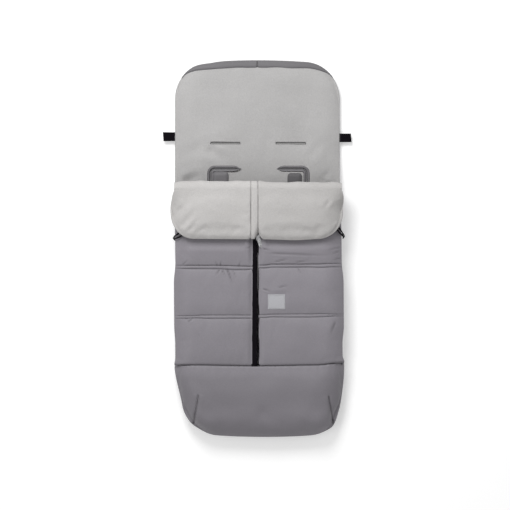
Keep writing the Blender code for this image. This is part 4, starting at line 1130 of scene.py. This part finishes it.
def cover_rows():
    """Rows up the cover, closest together beside its seams."""
    rows = set(np.round(np.arange(FOOT_SEAM_Y + 0.0002, FOLD_Y - 0.0002, 0.0028), 5).tolist())
    for middle in SEAM_MIDDLES:
        rows = {y for y in rows if abs(y - middle) > 0.0125}
        for beside in (0.0, 0.002, 0.0031, 0.004, 0.0049, 0.0058, 0.0072, 0.009, 0.0115):
            rows |= {round(middle - beside, 5), round(middle + beside, 5)}
    rows |= {FOOT_SEAM_Y + 0.0002, FOOT_SEAM_Y + 0.0012, FOOT_SEAM_Y + 0.0024, FOLD_Y - 0.0004}
    return np.array(sorted(rows))


def cover_across(count):
    """Shares of the way from the zip to the side, closest together at both ends."""
    middle = 0.03 + 0.955 * np.sin(math.pi / 2 * steps(0, 1, count)) ** 1.15
    return np.concatenate([[0.0, 0.006, 0.014, 0.024], middle, [1.0]])


def cover_move(side, y, shares):
    """How the cover's cloth moves when it is sewn down along its seams and blown up from beneath."""
    coarse_y, coarse_s = steps(y[0, 0], y[-1, 0], 96), steps(0, 1, 48)
    cy = np.repeat(coarse_y[:, None], len(coarse_s), 1)
    cx = side * (ZIP_HALF + coarse_s[None, :] * (half_width(cy) - ZIP_HALF))
    base = surface(cx, cy, cover_over(cx, cy))
    held = held_rim(cx.shape)
    for line in np.ravel(seam_lines()):
        held[np.argmin(np.abs(coarse_y - line))] = 1
    order = slice(None, None, side)
    move = relax(base[:, order], held[:, order], 0.012, 1.0, 0.0045)[:, order]
    r = np.interp(y, coarse_y, np.arange(len(coarse_y)))
    c = np.repeat(shares[None, :] * (len(coarse_s) - 1), len(y), 0)
    return sample(move, r, c)


def puckers(x, y, line_y, seed, reach=0.013):
    """Little gathers that run out from a line of stitches."""
    own = np.random.default_rng(seed)
    total = np.zeros_like(x)
    away = np.abs(y - line_y)
    for _ in range(26):
        at = own.uniform(0.014, 0.215)
        slant = own.uniform(-0.5, 0.5)
        width = own.uniform(0.0018, 0.0042)
        height = own.uniform(0.3, 1.0) * (1 if own.random() > 0.5 else -1)
        length = reach * own.uniform(0.5, 1.5)
        total += height * bell(np.abs(x) - at - slant * (y - line_y), width) * np.exp(-away / length)
    return 0.0004 * total


def quilting(side, x, y, level):
    """The rise and the darkness of the quilt seams' stitched lines, the darkness partly painted shade of
    their grooves, the upper one first.
    """
    rise, marks = np.zeros_like(x), np.zeros_like(x)
    held = (0.4 + 0.6 * level) * smooth((np.abs(x) - ZIP_HALF) / 0.005)
    for number, (middle, pair) in enumerate(zip(SEAM_MIDDLES[::-1], seam_lines()[::-1])):
        for order, line in enumerate(pair):
            rise = rise - (0.0017 - 0.0005 * number) * bell(y - line, 0.0014) * held
            uneven = 0.62 + 0.38 * np.sin(x * 71 + 2 * order) * np.sin(x * 23 + number + side)
            # Painted shade: the lines are darker near the rim, where their grooves are shallower.
            dark = (0.30 - 0.10 * number) * uneven * (1 + 1.2 * (1 - level))
            marks = np.maximum(marks, dark * bell(y - line, 0.0012))
            outside = y > line if order == 0 else y < line
            seed = 31 + 7 * number + order + (100 if side > 0 else 0)
            rise = rise + puckers(x, y, line, seed) * outside * level
        crown = np.cos((y - middle) / SEAM_GAP * math.pi / 2) * (np.abs(y - middle) < SEAM_GAP)
        rise = rise + 0.0008 * crown * level
    return rise, marks


def tilt(name, x, y):
    """How far a row of the cover is drawn up or down, so that its seams run as in the photo."""
    levels, rises = [FOOT_SEAM_Y], [np.zeros_like(x)]
    lines = [line for pair in seam_lines() for line in reversed(pair)]
    for line, table in zip(lines, SEAM_RISE[name]):
        distances, amounts = np.array(table).T / 1000
        levels.append(line)
        rises.append(np.interp(np.abs(x), distances, amounts))
    levels.append(FOLD_Y - 0.04)
    rises.append(rises[0])
    total = np.zeros_like(x)
    for k in range(len(levels) - 1):
        share = (y - levels[k]) / (levels[k + 1] - levels[k])
        total = np.where((share > 0) & (share <= 1), mix(rises[k], rises[k + 1], share), total)
    return total


def make_cover(name, side):
    body = f"cover_{name}"
    rows, shares = cover_rows(), cover_across(84)
    y = np.repeat(rows[:, None], len(shares), 1)
    x = side * (ZIP_HALF - 0.0006 + shares[None, :] * (half_width(y) - ZIP_HALF + 0.0006))
    move = cover_move(side, y, shares)
    px = on_cover(side, x + move[..., 0] * 0.6, y, COVER_BULGE)
    level = 1 - edge(x, y) ** 2
    from_zip = np.abs(x) - ZIP_HALF
    near_foot = y - FOOT_SEAM_Y
    rise, marks = quilting(side, x, y, level)
    softness = 0.26 * (1 - 0.85 * smooth((y + 0.010) / 0.030)) * smooth(from_zip / 0.018)
    top = cover_over(x, y) + softness * move[..., 2] + rise
    top = top - 0.0026 * smooth((y + 0.008) / 0.016) * smooth((np.abs(x) - 0.026) / 0.012)
    top = top - 0.0028 * bell(near_foot, 0.0023) + puckers(x, y, FOOT_SEAM_Y, 51 + side, 0.009) * level
    top = top + ripples(x, y, 0.07, 0.0004, 61 + side) * level * smooth((np.abs(x) - 0.012) / 0.02)
    # The join with the foot panel is darker, partly painted shade in its groove.
    marks = np.maximum(marks, 0.9 * bell(near_foot, 0.0013))
    for row in COVER_CREASES[name]:
        fold = crease(px, y, row, narrow=0.72) * smooth((from_zip - 0.002) / 0.006)
        top = top + fold * level
        # Painted shade: crease valleys are painted darker.
        marks = np.maximum(marks, 0.55 * clip(-1000 * fold / row[4]))
    if side > 0:
        (x0, y0, _), (x1, y1, _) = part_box("label_patch")
        beside = np.maximum(np.maximum(x0 - px, px - x1), np.maximum(y0 - y, y - y1))
        top = mix(top, cover_over(x, y), smooth((0.008 - beside) / 0.008))
    py = y + move[..., 1] * 0.6 + tilt(name, px, y) + seam_bow(px, y)
    for number, middle in enumerate(SEAM_MIDDLES):
        closer = 0.0008 if side < 0 or number == 0 else 0.0002
        py = py - closer * (y - middle) / SEAM_GAP * bell(y - middle, 0.008)
    under = cover_under(x, y) + 0.0004 * np.abs(ripples(x, y, 0.05, 1.0, 71)) * level
    low_x = on_cover(side, x, y, COVER_BULGE)
    upper, lower = surface(px, py, top), surface(low_x, y + seam_bow(low_x, y), under)

    def flat(points):
        at_side = (np.abs(points[:, 0]) > 0.2) * (points[:, 1] < FOLD_Y - 0.006)
        return 1.0 * at_side + 0.25 * (np.abs(points[:, 0]) < 0.02)

    pad = padded_solid(f"cover_panel_{name}", upper, lower, [NYLON, PLUSH], marks, COVER_BULGE, 7, flat)
    nodes = [f"cover_{layer}_{name}" for layer in ("shell", "wadding", "lining")]
    dress(pad, body, "grey_nylon", *nodes, fill=0.7)
    for number, line in enumerate(np.ravel(seam_lines())):
        path = surface(px, py, top + 0.0002)[np.argmin(np.abs(rows - line)), :-1]
        stitches(f"seam_thread_{number}_{name}", path, body, THREAD)
    beside_zip = np.argmin(np.abs(from_zip[0] - 0.0040))
    path = surface(px, py, top + 0.0001)[:, beside_zip]
    stitches(f"edge_thread_{name}", path, body, NYLON, radius=0.0002)


# Zips, guard and patch

TOOTH_PITCH = 0.0017


def make_teeth(name, body, node, first, last, place):
    """The coil of a zip half as a row of teeth; place gives a tooth's corners from its y and half length."""
    middles = np.arange(first + TOOTH_PITCH / 2, last - TOOTH_PITCH / 2, TOOTH_PITCH)
    boxes = [place(float(y), TOOTH_PITCH * 0.36) for y in middles]
    dress(blocks(name, boxes, COIL), body, "black_woven", node)


def make_centre_zip(name, side):
    body = f"cover_{name}"
    first, last = FOOT_SEAM_Y - 0.0014, FOLD_Y - 0.0003
    sections = []
    for y in steps(first, last, 80):
        z = ZIP_Z + 0.00015 * math.sin(y * 70 + side)
        far = float(zip_edge(side, y)) + 0.0016
        near = min(0.0036, far - 0.002)
        ring = ((near, -0.0005), (far, -0.0005), (far, 0.0003), ((near + far) / 2, 0.0006), (near, 0.0005))
        sections.append([(side * x, y, z + up) for x, up in ring])
    dress(loft(f"zip_tape_{name}", sections, BLACK), body, "black_woven", f"centre_zip_tape_{name}")

    def place(y, half):
        widest = min(0.0036, float(zip_edge(side, y)) - 0.0002)
        x0, x1 = sorted((side * 0.0004, side * widest))
        at = y + (0.0 if side < 0 else TOOTH_PITCH / 2)
        return box_points(x0, x1, at - half, at + half, ZIP_Z - 0.0010, ZIP_Z + 0.0007, 0.0003)

    make_teeth(f"zip_coil_{name}", body, f"centre_zip_coil_{name}", first, last - 0.001, place)


def side_zip_line(side, y):
    """The side zip runs under the cover's edge and never further out than its slider."""
    return min(float(outer_edge(side, y)) - 0.0012, SIDE_ZIP_X - SIDE_SHIFT[side])


def back_zip_level(y):
    """The middle of the side zip where it stands on the back's rim."""
    return float(max(back_over(half_width(y) - 0.0038, y), back_over(half_width(y), y))) + 0.00915


def make_side_zip(name, side, part, body):
    """The tape and coil of half a side zip, below its middle on the back and above it on the cover."""
    first, last = FOOT_SEAM_Y + 0.0003, FOLD_Y - 0.0003

    def heights(y, near, far):
        if part == "back":
            return back_zip_level(y) - far, back_zip_level(y) - near
        return SIDE_ZIP_Z + near, SIDE_ZIP_Z + far

    def place(y, half):
        z0, z1 = heights(y, 0.0004, 0.0035)
        x = side * side_zip_line(side, y)
        at = y + (0.0 if part == "back" else TOOTH_PITCH / 2)
        return box_points(x - 0.0011, x + 0.0011, at - half, at + half, z0, z1, 0.0002)

    sections = []
    for y in steps(first, last, 90):
        x = side_zip_line(side, y)
        z0, z1 = heights(y, 0.0036, 0.0092)
        ring = [(x - 0.0005, z0), (x + 0.0005, z0), (x + 0.0006 + 0.0003 * math.sin(y * 60), (z0 + z1) / 2)]
        ring += [(x + 0.0005, z1), (x - 0.0005, z1)]
        sections.append([(side * px, y, pz) for px, pz in ring])
    dress(loft(f"{part}_tape_{name}", sections, BLACK), body, "black_woven", f"{part}_zip_tape_{name}")
    make_teeth(f"{part}_teeth_{name}", body, f"{part}_zip_coil_{name}", first, last - 0.001, place)


def make_zip_guard():
    (x0, y0, z0), (x1, y1, z1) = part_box("zip_guard")
    t, s = np.meshgrid(steps(0, 1, 80), steps(0, 1, 13), indexing="ij")
    x, y = mix(x0, x1, s), mix(y0, y1, t)
    thick = 0.0008 * np.sin(math.pi * s) ** 0.5 + 0.00024 * np.maximum(np.sin(y * 55), 0) * (1 - s)
    upper, lower = surface(x, y, z1 - 0.0003), surface(x, y, z0 + 0.0007 - thick)
    guard = padded_solid("zip_guard_strip", upper, lower, [PLUSH], bulge=0.0005, rings=3)
    dress(guard, "cover_left", "pale_plush", "zip_guard", fill=0.2)


def make_label_patch():
    (x0, y0, _), (x1, y1, _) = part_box("label_patch")
    s, t = np.meshgrid(steps(0, 1, 37), steps(0, 1, 33))
    x, y = mix(x0, x1, s), mix(y0, y1, t)
    base = cover_over(x, y)
    inset = 0.0022
    inner = np.minimum(np.minimum(x - x0, x1 - x), np.minimum(y - y0, y1 - y))
    top = base + 0.0013 - 0.0004 * bell(inner - inset, 0.0007) - 0.0005 * np.exp(-inner / 0.0012)
    upper, lower = surface(x, y, top), surface(x, y, base + 0.0002)
    patch = padded_solid("bare_patch", upper, lower, [PATCH], bulge=0.0002, rings=2)
    dress(patch, "cover_right", "pale_patch", "label_patch")
    x0, y0, x1, y1 = x0 + inset, y0 + inset, x1 - inset, y1 - inset
    loop = [(x0, y0), (x1, y0), (x1, y1), (x0, y1)]
    path = []
    for (ax, ay), (bx, by) in zip(loop, loop[1:] + loop[:1]):
        for k in range(12):
            px, py = mix(ax, bx, k / 12), mix(ay, by, k / 12)
            path.append((px, py, level_at(cover_over, px, py) + 0.0011))
    stitches("patch_thread", path, "cover_right", PALE_THREAD, pitch=0.0026, radius=0.0003)


# Collar

COLLAR_BEND = COLLAR_WIDTH / 2 - COLLAR_CORNER
COLLAR_CREASES = {
    "left": (
        (-206, 50, -155, 105, 2.8, 6.5),
        (-186, 36, -150, 82, 2.2, 5.5),
        (-214, 85, -180, 125, 1.8, 6.0),
        (-165, 30, -130, 60, 1.6, 5.0),
        (-130, 120, -80, 100, 1.0, 10.0),
        (-22, 60, -45, 75, 1.2, 5.0),
    ),
    "right": (
        (190, 125, 170, 95, 2.0, 5.0),
        (150, 35, 100, 50, 1.6, 8.0),
        (60, 90, 140, 75, 1.2, 14.0),
        (30, 140, 60, 100, 1.0, 9.0),
        (205, 60, 180, 100, 1.4, 7.0),
    ),
}


def collar_rows(side, xs):
    """The grid of a piece of the collar from its end to the fold, at given distances from the middle."""
    shares = np.concatenate([[0.0, 0.008, 0.02, 0.035], steps(0.055, 0.93, 32), [0.96, 0.985, 1.0]])
    y = mix(collar_end(side * xs)[None, :], FOLD_Y + 0.0001, shares[:, None])
    return np.repeat(xs[None, :], len(shares), 0), y


def near_end(x, y, length):
    """1 at the collar's end, fading over a length."""
    return 1 - smooth((y - collar_end(x)) / length)


def collar_solid(title, x, y, px, py, top, paints, marks, bulge=0.0, flat=None):
    """A padded piece of the collar, which lies on the cover and is lifted a little at its end."""
    lift = (0.0058 - 0.0030 * bell(x, 0.012)) * near_end(x, y, 0.030)
    low = collar_under(x, y) + 0.0003 + 0.0004 * np.abs(ripples(x, y, 0.05, 1.0, 91))
    upper, lower = surface(px, py, top + lift), surface(px, py, np.minimum(low, top - 0.003) + lift)
    return padded_solid(title, upper, lower, paints, marks, bulge, rings=9, flat=flat)


def panel_distances(first):
    """Distances from the middle across a collar half, closest together at both ends."""
    near = [first, first + 0.0006, first + 0.0014, first + 0.0026, first + 0.0042]
    middle = steps(max(first + 0.006, 0.0092), COLLAR_BEND, 34)
    corner = COLLAR_CORNER * np.sin(math.pi / 2 * steps(0, 1, 20)[1:])
    return np.concatenate([near, middle, COLLAR_BEND + corner])


def make_collar_panel(name, side):
    first = PARTING if side > 0 else COLLAR_PANEL_START
    half = COLLAR_WIDTH / 2
    x, y = collar_rows(side, panel_distances(first))
    x = side * (x * mix(1.0, collar_half_width(y) / half, clip(x / COLLAR_BEND)))
    base = surface(x, y, collar_over(x, y))
    order = slice(None, None, side)
    move = relax(base[:, order], held_rim(x.shape, soft=(1, -2)), 0.010, 1.0, 0.004)[:, order]
    inner = smooth((y - collar_end(x)) / 0.03) * smooth((FOLD_Y - y) / 0.04)
    inner = inner * smooth((collar_half_width(y) - np.abs(x)) / 0.02) * smooth((np.abs(x) - first) / 0.02)
    detail = ripples(x, y, 0.12, 0.0011, 81 if side < 0 else 82) + creases(x, y, COLLAR_CREASES[name])
    from_edge = np.abs(x) - first
    top = base[..., 2] + move[..., 2] * smooth((FOLD_Y - y) / 0.045) + detail * inner
    top = top - 0.0016 * np.exp(-from_edge / 0.0014)
    # Painted shade in the gap at the parting, darker on the left beside the guard strip.
    marks = (0.7 if side < 0 else 0.25) * np.exp(-from_edge / 0.0008)
    px = x * (1 - 0.0030 / half * clip(np.abs(x) / COLLAR_BEND))
    py = y + (0.0042 - 0.0030 * bell(x - 0.100, 0.050)) * near_end(x, y, 0.04)
    if side > 0:
        # Painted shade: the right half is painted a little darker all over.
        marks = np.maximum(marks, 0.17)
        px = px - 0.0035 * clip(x / half) ** 2 * smooth((0.135 - y) / 0.04)
        py = py + (collar_drop(x, 0.063, 0.003) - collar_drop(x)) * near_end(x, y, 0.10)
    else:
        px = px - 0.0034 * bell(y - 0.098, 0.028) * clip(-x / half)

    def flat(points):
        outside = (points[:, 1] < FOLD_Y - 0.006) * (np.abs(points[:, 0]) > max(first, 0.01) + 0.003)
        return (0.15 + 0.85 * smooth((FOLD_Y - points[:, 1]) / 0.02)) * outside

    piece = collar_solid(f"collar_panel_{name}", x, y, px, py, top, [PLUSH, NYLON], marks, COLLAR_BULGE, flat)
    nodes = [f"collar_{layer}_{name}" for layer in ("shell", "wadding", "lining")]
    dress(piece, f"collar_{name}", "pale_plush", *nodes, fill=0.6)


def make_collar_strip():
    """The narrow guard strip beside the parting."""
    first, last = PARTING, COLLAR_GUARD_END
    near, far = [first, first + 0.0005, first + 0.0012], [last - 0.0012, last - 0.0005, last]
    xs = np.concatenate([near, steps(first + 0.002, last - 0.002, 11), far])
    x, y = collar_rows(-1, xs)
    x = -x
    inner, outer = np.abs(x) - first, last - np.abs(x)
    top = collar_over(x, y) + 0.0008 * np.sin(math.pi * inner / (last - first)) * smooth((FOLD_Y - y) / 0.02)
    top = top - 0.0010 * np.exp(-inner / 0.0014) - 0.0022 * np.exp(-outer / 0.0014)
    # Painted shade in the gaps along both edges of the strip, darker at its outer edge.
    marks = np.maximum(0.25 * np.exp(-inner / 0.0008), 0.8 * np.exp(-outer / 0.0008))
    py = y + 0.0018 * near_end(x, y, 0.04)
    strip = collar_solid("collar_strip_left", x, y, x, py, top, [PLUSH, PLUSH], marks)
    dress(strip, "collar_left", "pale_plush", "collar_guard", fill=0.6)


def make_collar_fold(name, side):
    """The soft roll that joins the cover to the folded collar."""
    outer = COLLAR_FOLD_WIDTH / 2
    shares = [*steps(0.03, 0.9, 40), 0.92, 0.94, 0.955, 0.97, 0.98, 0.99, 0.996, 1.0]
    seams = [0.0005] if side > 0 else [0.0005, 0.01845]
    for at in seams:
        shares += [(at + d) / outer for d in (-0.0028, -0.0014, -0.0006, 0.0, 0.0006, 0.0014, 0.0028)]
    sections, marks = [], []
    for share in sorted(share for share in set(shares) if 0.0005 <= share * outer):
        x = mix(0.0, outer - 0.0030, share)
        high = level_at(collar_over, x, FOLD_Y)
        low = level_at(cover_under, min(x, float(half_width(FOLD_Y))), FOLD_Y)
        dent = max(bell(x - at, 0.0012) for at in seams)
        press = dent * 0.0018 * (1 if side < 0 or x > 0.004 else 0.6)
        reach = 0.0205 if side < 0 else 0.0205 - 0.0026 * smooth(x / 0.02)
        reach = reach * mix(1.0, 0.86, smooth((x - 0.9 * outer) / (0.1 * outer)))
        reach = reach + 0.0007 * math.sin(x * 60 + side) + 0.0005 * math.sin(x * 140)
        middle, half = (low + high) / 2, (high - low) / 2 - press
        ring = []
        for turn in math.pi * steps(0, 1, 21):
            y = FOLD_Y + 0.0001 + (reach - press) * math.sin(turn)
            ring.append((side * x, y, middle - half * math.cos(turn)))
        sections.append(ring)
        # Painted shade: darker in the dents at the joins, and the right roll a little darker all over.
        marks.append([max(dent * (0.75 if x > 0.004 else 0.35), 0.17 if side > 0 else 0.0)] * len(ring))
    roll = loft(f"collar_roll_{name}", sections, PLUSH, seam_and_shade=marks)
    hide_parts(f"collar_fold_{name}")
    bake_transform(roll)


def make_collar_zip(name, side):
    (x0, y0, z0), (x1, y1, z1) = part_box(f"collar_zip_{name}")
    coil = 0.0032
    coil_x, tape_x = ((x0, x0 + coil), (x0 + coil, x1)) if side > 0 else ((x1 - coil, x1), (x0, x1 - coil))
    boxes = []
    for y in np.arange(y0 + 0.001, y1 - 0.001, TOOTH_PITCH):
        boxes.append(box_points(*coil_x, y - 0.0006, y + 0.0006, z1 - 0.0002, z0 - 0.0006, 0.0003))
    ys = steps(y0, y1, 24)
    boxes += [box_points(*tape_x, a, b, z1 - 0.0001, z0, 0.0) for a, b in zip(ys, ys[1:])]
    strip = blocks(f"collar_tape_{name}", boxes, BLACK)
    dress(strip, f"collar_{name}", "black_woven", f"collar_zip_{name}")


# Sliders and pulls


def finish_hard(thing, paint):
    thing.data.materials.clear()
    thing.data.materials.append(paint)
    bevel = thing.modifiers.new("rounded", "BEVEL")
    bevel.width = 0.00035
    bevel.segments = 2
    bevel.limit_method = "ANGLE"
    bevel.angle_limit = math.radians(40)


def make_hardware():
    for node in ("centre_slider", "centre_pull"):
        finish_hard(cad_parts[node], METAL)
    for name, side in SIDES.items():
        node = f"side_slider_{name}"
        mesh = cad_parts[node].data.copy()
        mesh.transform(Matrix.Translation((-side * SIDE_SHIFT[side], SIDE_RISE[side], 0)))
        thing = dress(new_object(f"side_slide_{name}", mesh), node, "black_plastic", node)
        finish_hard(thing, PLASTIC)


def round_curve(points, parts=4):
    """A smooth closed curve through points."""
    fine = []
    for p0, p1, p2, p3 in zip(np.roll(points, 1, 0), points, np.roll(points, -1, 0), np.roll(points, -2, 0)):
        for t in np.arange(parts) / parts:
            curve = 2 * p1 + (p2 - p0) * t + (2 * p0 - 5 * p1 + 4 * p2 - p3) * t**2
            fine.append(0.5 * (curve + (3 * p1 - p0 - 3 * p2 + p3) * t**3))
    return np.array(fine)


def make_side_pull(name, side):
    """A loop of braided cord through the side slider, which lies on the cover's rounded edge."""
    out = SIDE_ZIP_X + 0.0047 - SIDE_SHIFT[side]
    half, reach, cover_top, fall, fall_width = 0.0050, 0.0195, 0.082, 0.024, 0.050
    inset, turn = (0.0030, 0.0125) if side < 0 else (0.0010, 0.0250)
    path = [(out, SIDE_ZIP_Z), (out - 0.3 * inset, SIDE_ZIP_Z + 0.008), (out - inset, SIDE_ZIP_Z + 0.0165)]
    for share in (0.2, 0.45, 0.72, 1.0):
        x = out - reach * share
        near = float(clip(1 - (0.2185 - x) / fall_width))
        slope = fall * 2.4 * near**1.4 / fall_width
        path.append((x - inset, cover_top - fall * near**2.4 + 0.0026 * math.hypot(1, slope)))

    def at(x, z, beside):
        return x, beside + turn * clip((out - x) / (reach + inset)), z

    spread = (0.7, 0.95, 0.8, 0.85, 1.0, 1.05)
    there = [at(x, z, half * wide) for (x, z), wide in zip([path[0], *path[1:-1]], spread)]
    back = [at(x, z, -half * wide) for (x, z), wide in zip([path[0], *path[1:-1]], spread)]
    along = np.subtract(path[-1], path[-2])
    along /= np.linalg.norm(along)
    tip = []
    for k in range(7):
        angle = math.radians(30 * k)
        x, y, z = at(*path[-1], half * math.cos(angle))
        bend = 0.6 * half * math.sin(angle)
        tip.append((x + along[0] * bend, y, z + along[1] * bend))
    points = [at(*path[0], 0.0), *there, *tip, *reversed(back)]
    middle_y = SIDE_SLIDER_Y + SIDE_RISE[side]
    fine = round_curve(np.array([(side * x, middle_y + y, z) for x, y, z in points]))
    thick = 0.0013 + 0.0011 * smooth((out - 0.003 - np.abs(fine[:, 0])) / 0.008)
    loop = cord(f"cord_loop_{name}", fine, thick, BLACK)
    dress(loop, f"side_pull_{name}", "black_woven", f"side_pull_{name}")


# Floor, light and camera

FLOOR_COLOUR, FLOOR_GLOW, WORLD_LIGHT = (0.80, 0.80, 0.80), 0.325, 0.51
CAMERA_PLACE, CAMERA_LENS, SENSOR_WIDTH = (-0.0078, -0.0175, 9.249), 250, 36


def seen_rays(tree):
    """1 for camera, glossy and transmission rays, and 0 for the others."""
    rays = add_node(tree, "LightPath").outputs
    seen = maths(tree, "MAXIMUM", rays["Is Camera Ray"], rays["Is Glossy Ray"])
    return maths(tree, "MAXIMUM", seen, rays["Is Transmission Ray"])


def make_floor():
    """A plain floor that is seen as white."""
    bpy.ops.mesh.primitive_plane_add(size=14, location=(0, 0, -0.0005))
    floor = bpy.context.object
    floor.name = "floor"
    paint, tree, _ = new_paint("floor_white", FLOOR_COLOUR)
    tree.nodes.clear()
    plain = add_node(tree, "BsdfDiffuse", {"Color": opaque(FLOOR_COLOUR)})
    strength = maths(tree, "MULTIPLY", seen_rays(tree), FLOOR_GLOW)
    glow = add_node(tree, "Emission", {"Strength": strength})
    both = add_node(tree, "AddShader", {0: plain.outputs[0], 1: glow.outputs[0]})
    add_node(tree, "OutputMaterial", {"Surface": both.outputs[0]})
    floor.data.materials.append(paint)


def make_world():
    """Even light from a world that is seen as white."""
    world = bpy.data.worlds.new("studio")
    bpy.context.scene.world = world
    world.use_nodes = True
    tree = world.node_tree
    strength = ramp(tree, seen_rays(tree), 0.0, 1.0, WORLD_LIGHT, 1.0)
    feed(tree, tree.nodes["Background"], {"Color": (1, 1, 1, 1), "Strength": strength})


def make_lamp(name, place, size, power):
    """A round lamp that points to the middle of the part."""
    data = bpy.data.lights.new(name, "AREA")
    data.shape = "DISK"
    data.size = size
    data.energy = power
    light = new_object(name, data)
    light.location = place
    light.rotation_euler = (-Vector(place)).to_track_quat("-Z", "Y").to_euler()


def make_camera():
    data = bpy.data.cameras.new("camera")
    data.lens = CAMERA_LENS
    data.sensor_width = SENSOR_WIDTH
    data.clip_end = 50
    camera = new_object("camera", data)
    camera.location = CAMERA_PLACE
    bpy.context.scene.camera = camera
    bpy.context.scene.view_settings.view_transform = "Standard"


def main():
    make_floor()
    make_world()
    make_lamp("key", (-0.50, 1.60, 1.9), 1.2, 45)
    make_lamp("fill", (-1.5, -0.6, 2.4), 1.4, 9)
    make_camera()
    make_back()
    make_bindings()
    make_foot()
    make_dart_threads()
    make_pocket()
    make_pocket_elastic()
    for name, side in SIDES.items():
        make_slot_pad(name, side)
        make_head_band(name, side)
        make_side_tab(name, side)
        make_cover(name, side)
        make_centre_zip(name, side)
        make_side_zip(name, side, "back", "back")
        make_side_zip(name, side, "side", f"cover_{name}")
        make_collar_panel(name, side)
        make_collar_fold(name, side)
        make_collar_zip(name, side)
        make_side_pull(name, side)
    make_collar_strip()
    make_zip_guard()
    make_label_patch()
    make_hardware()


main()
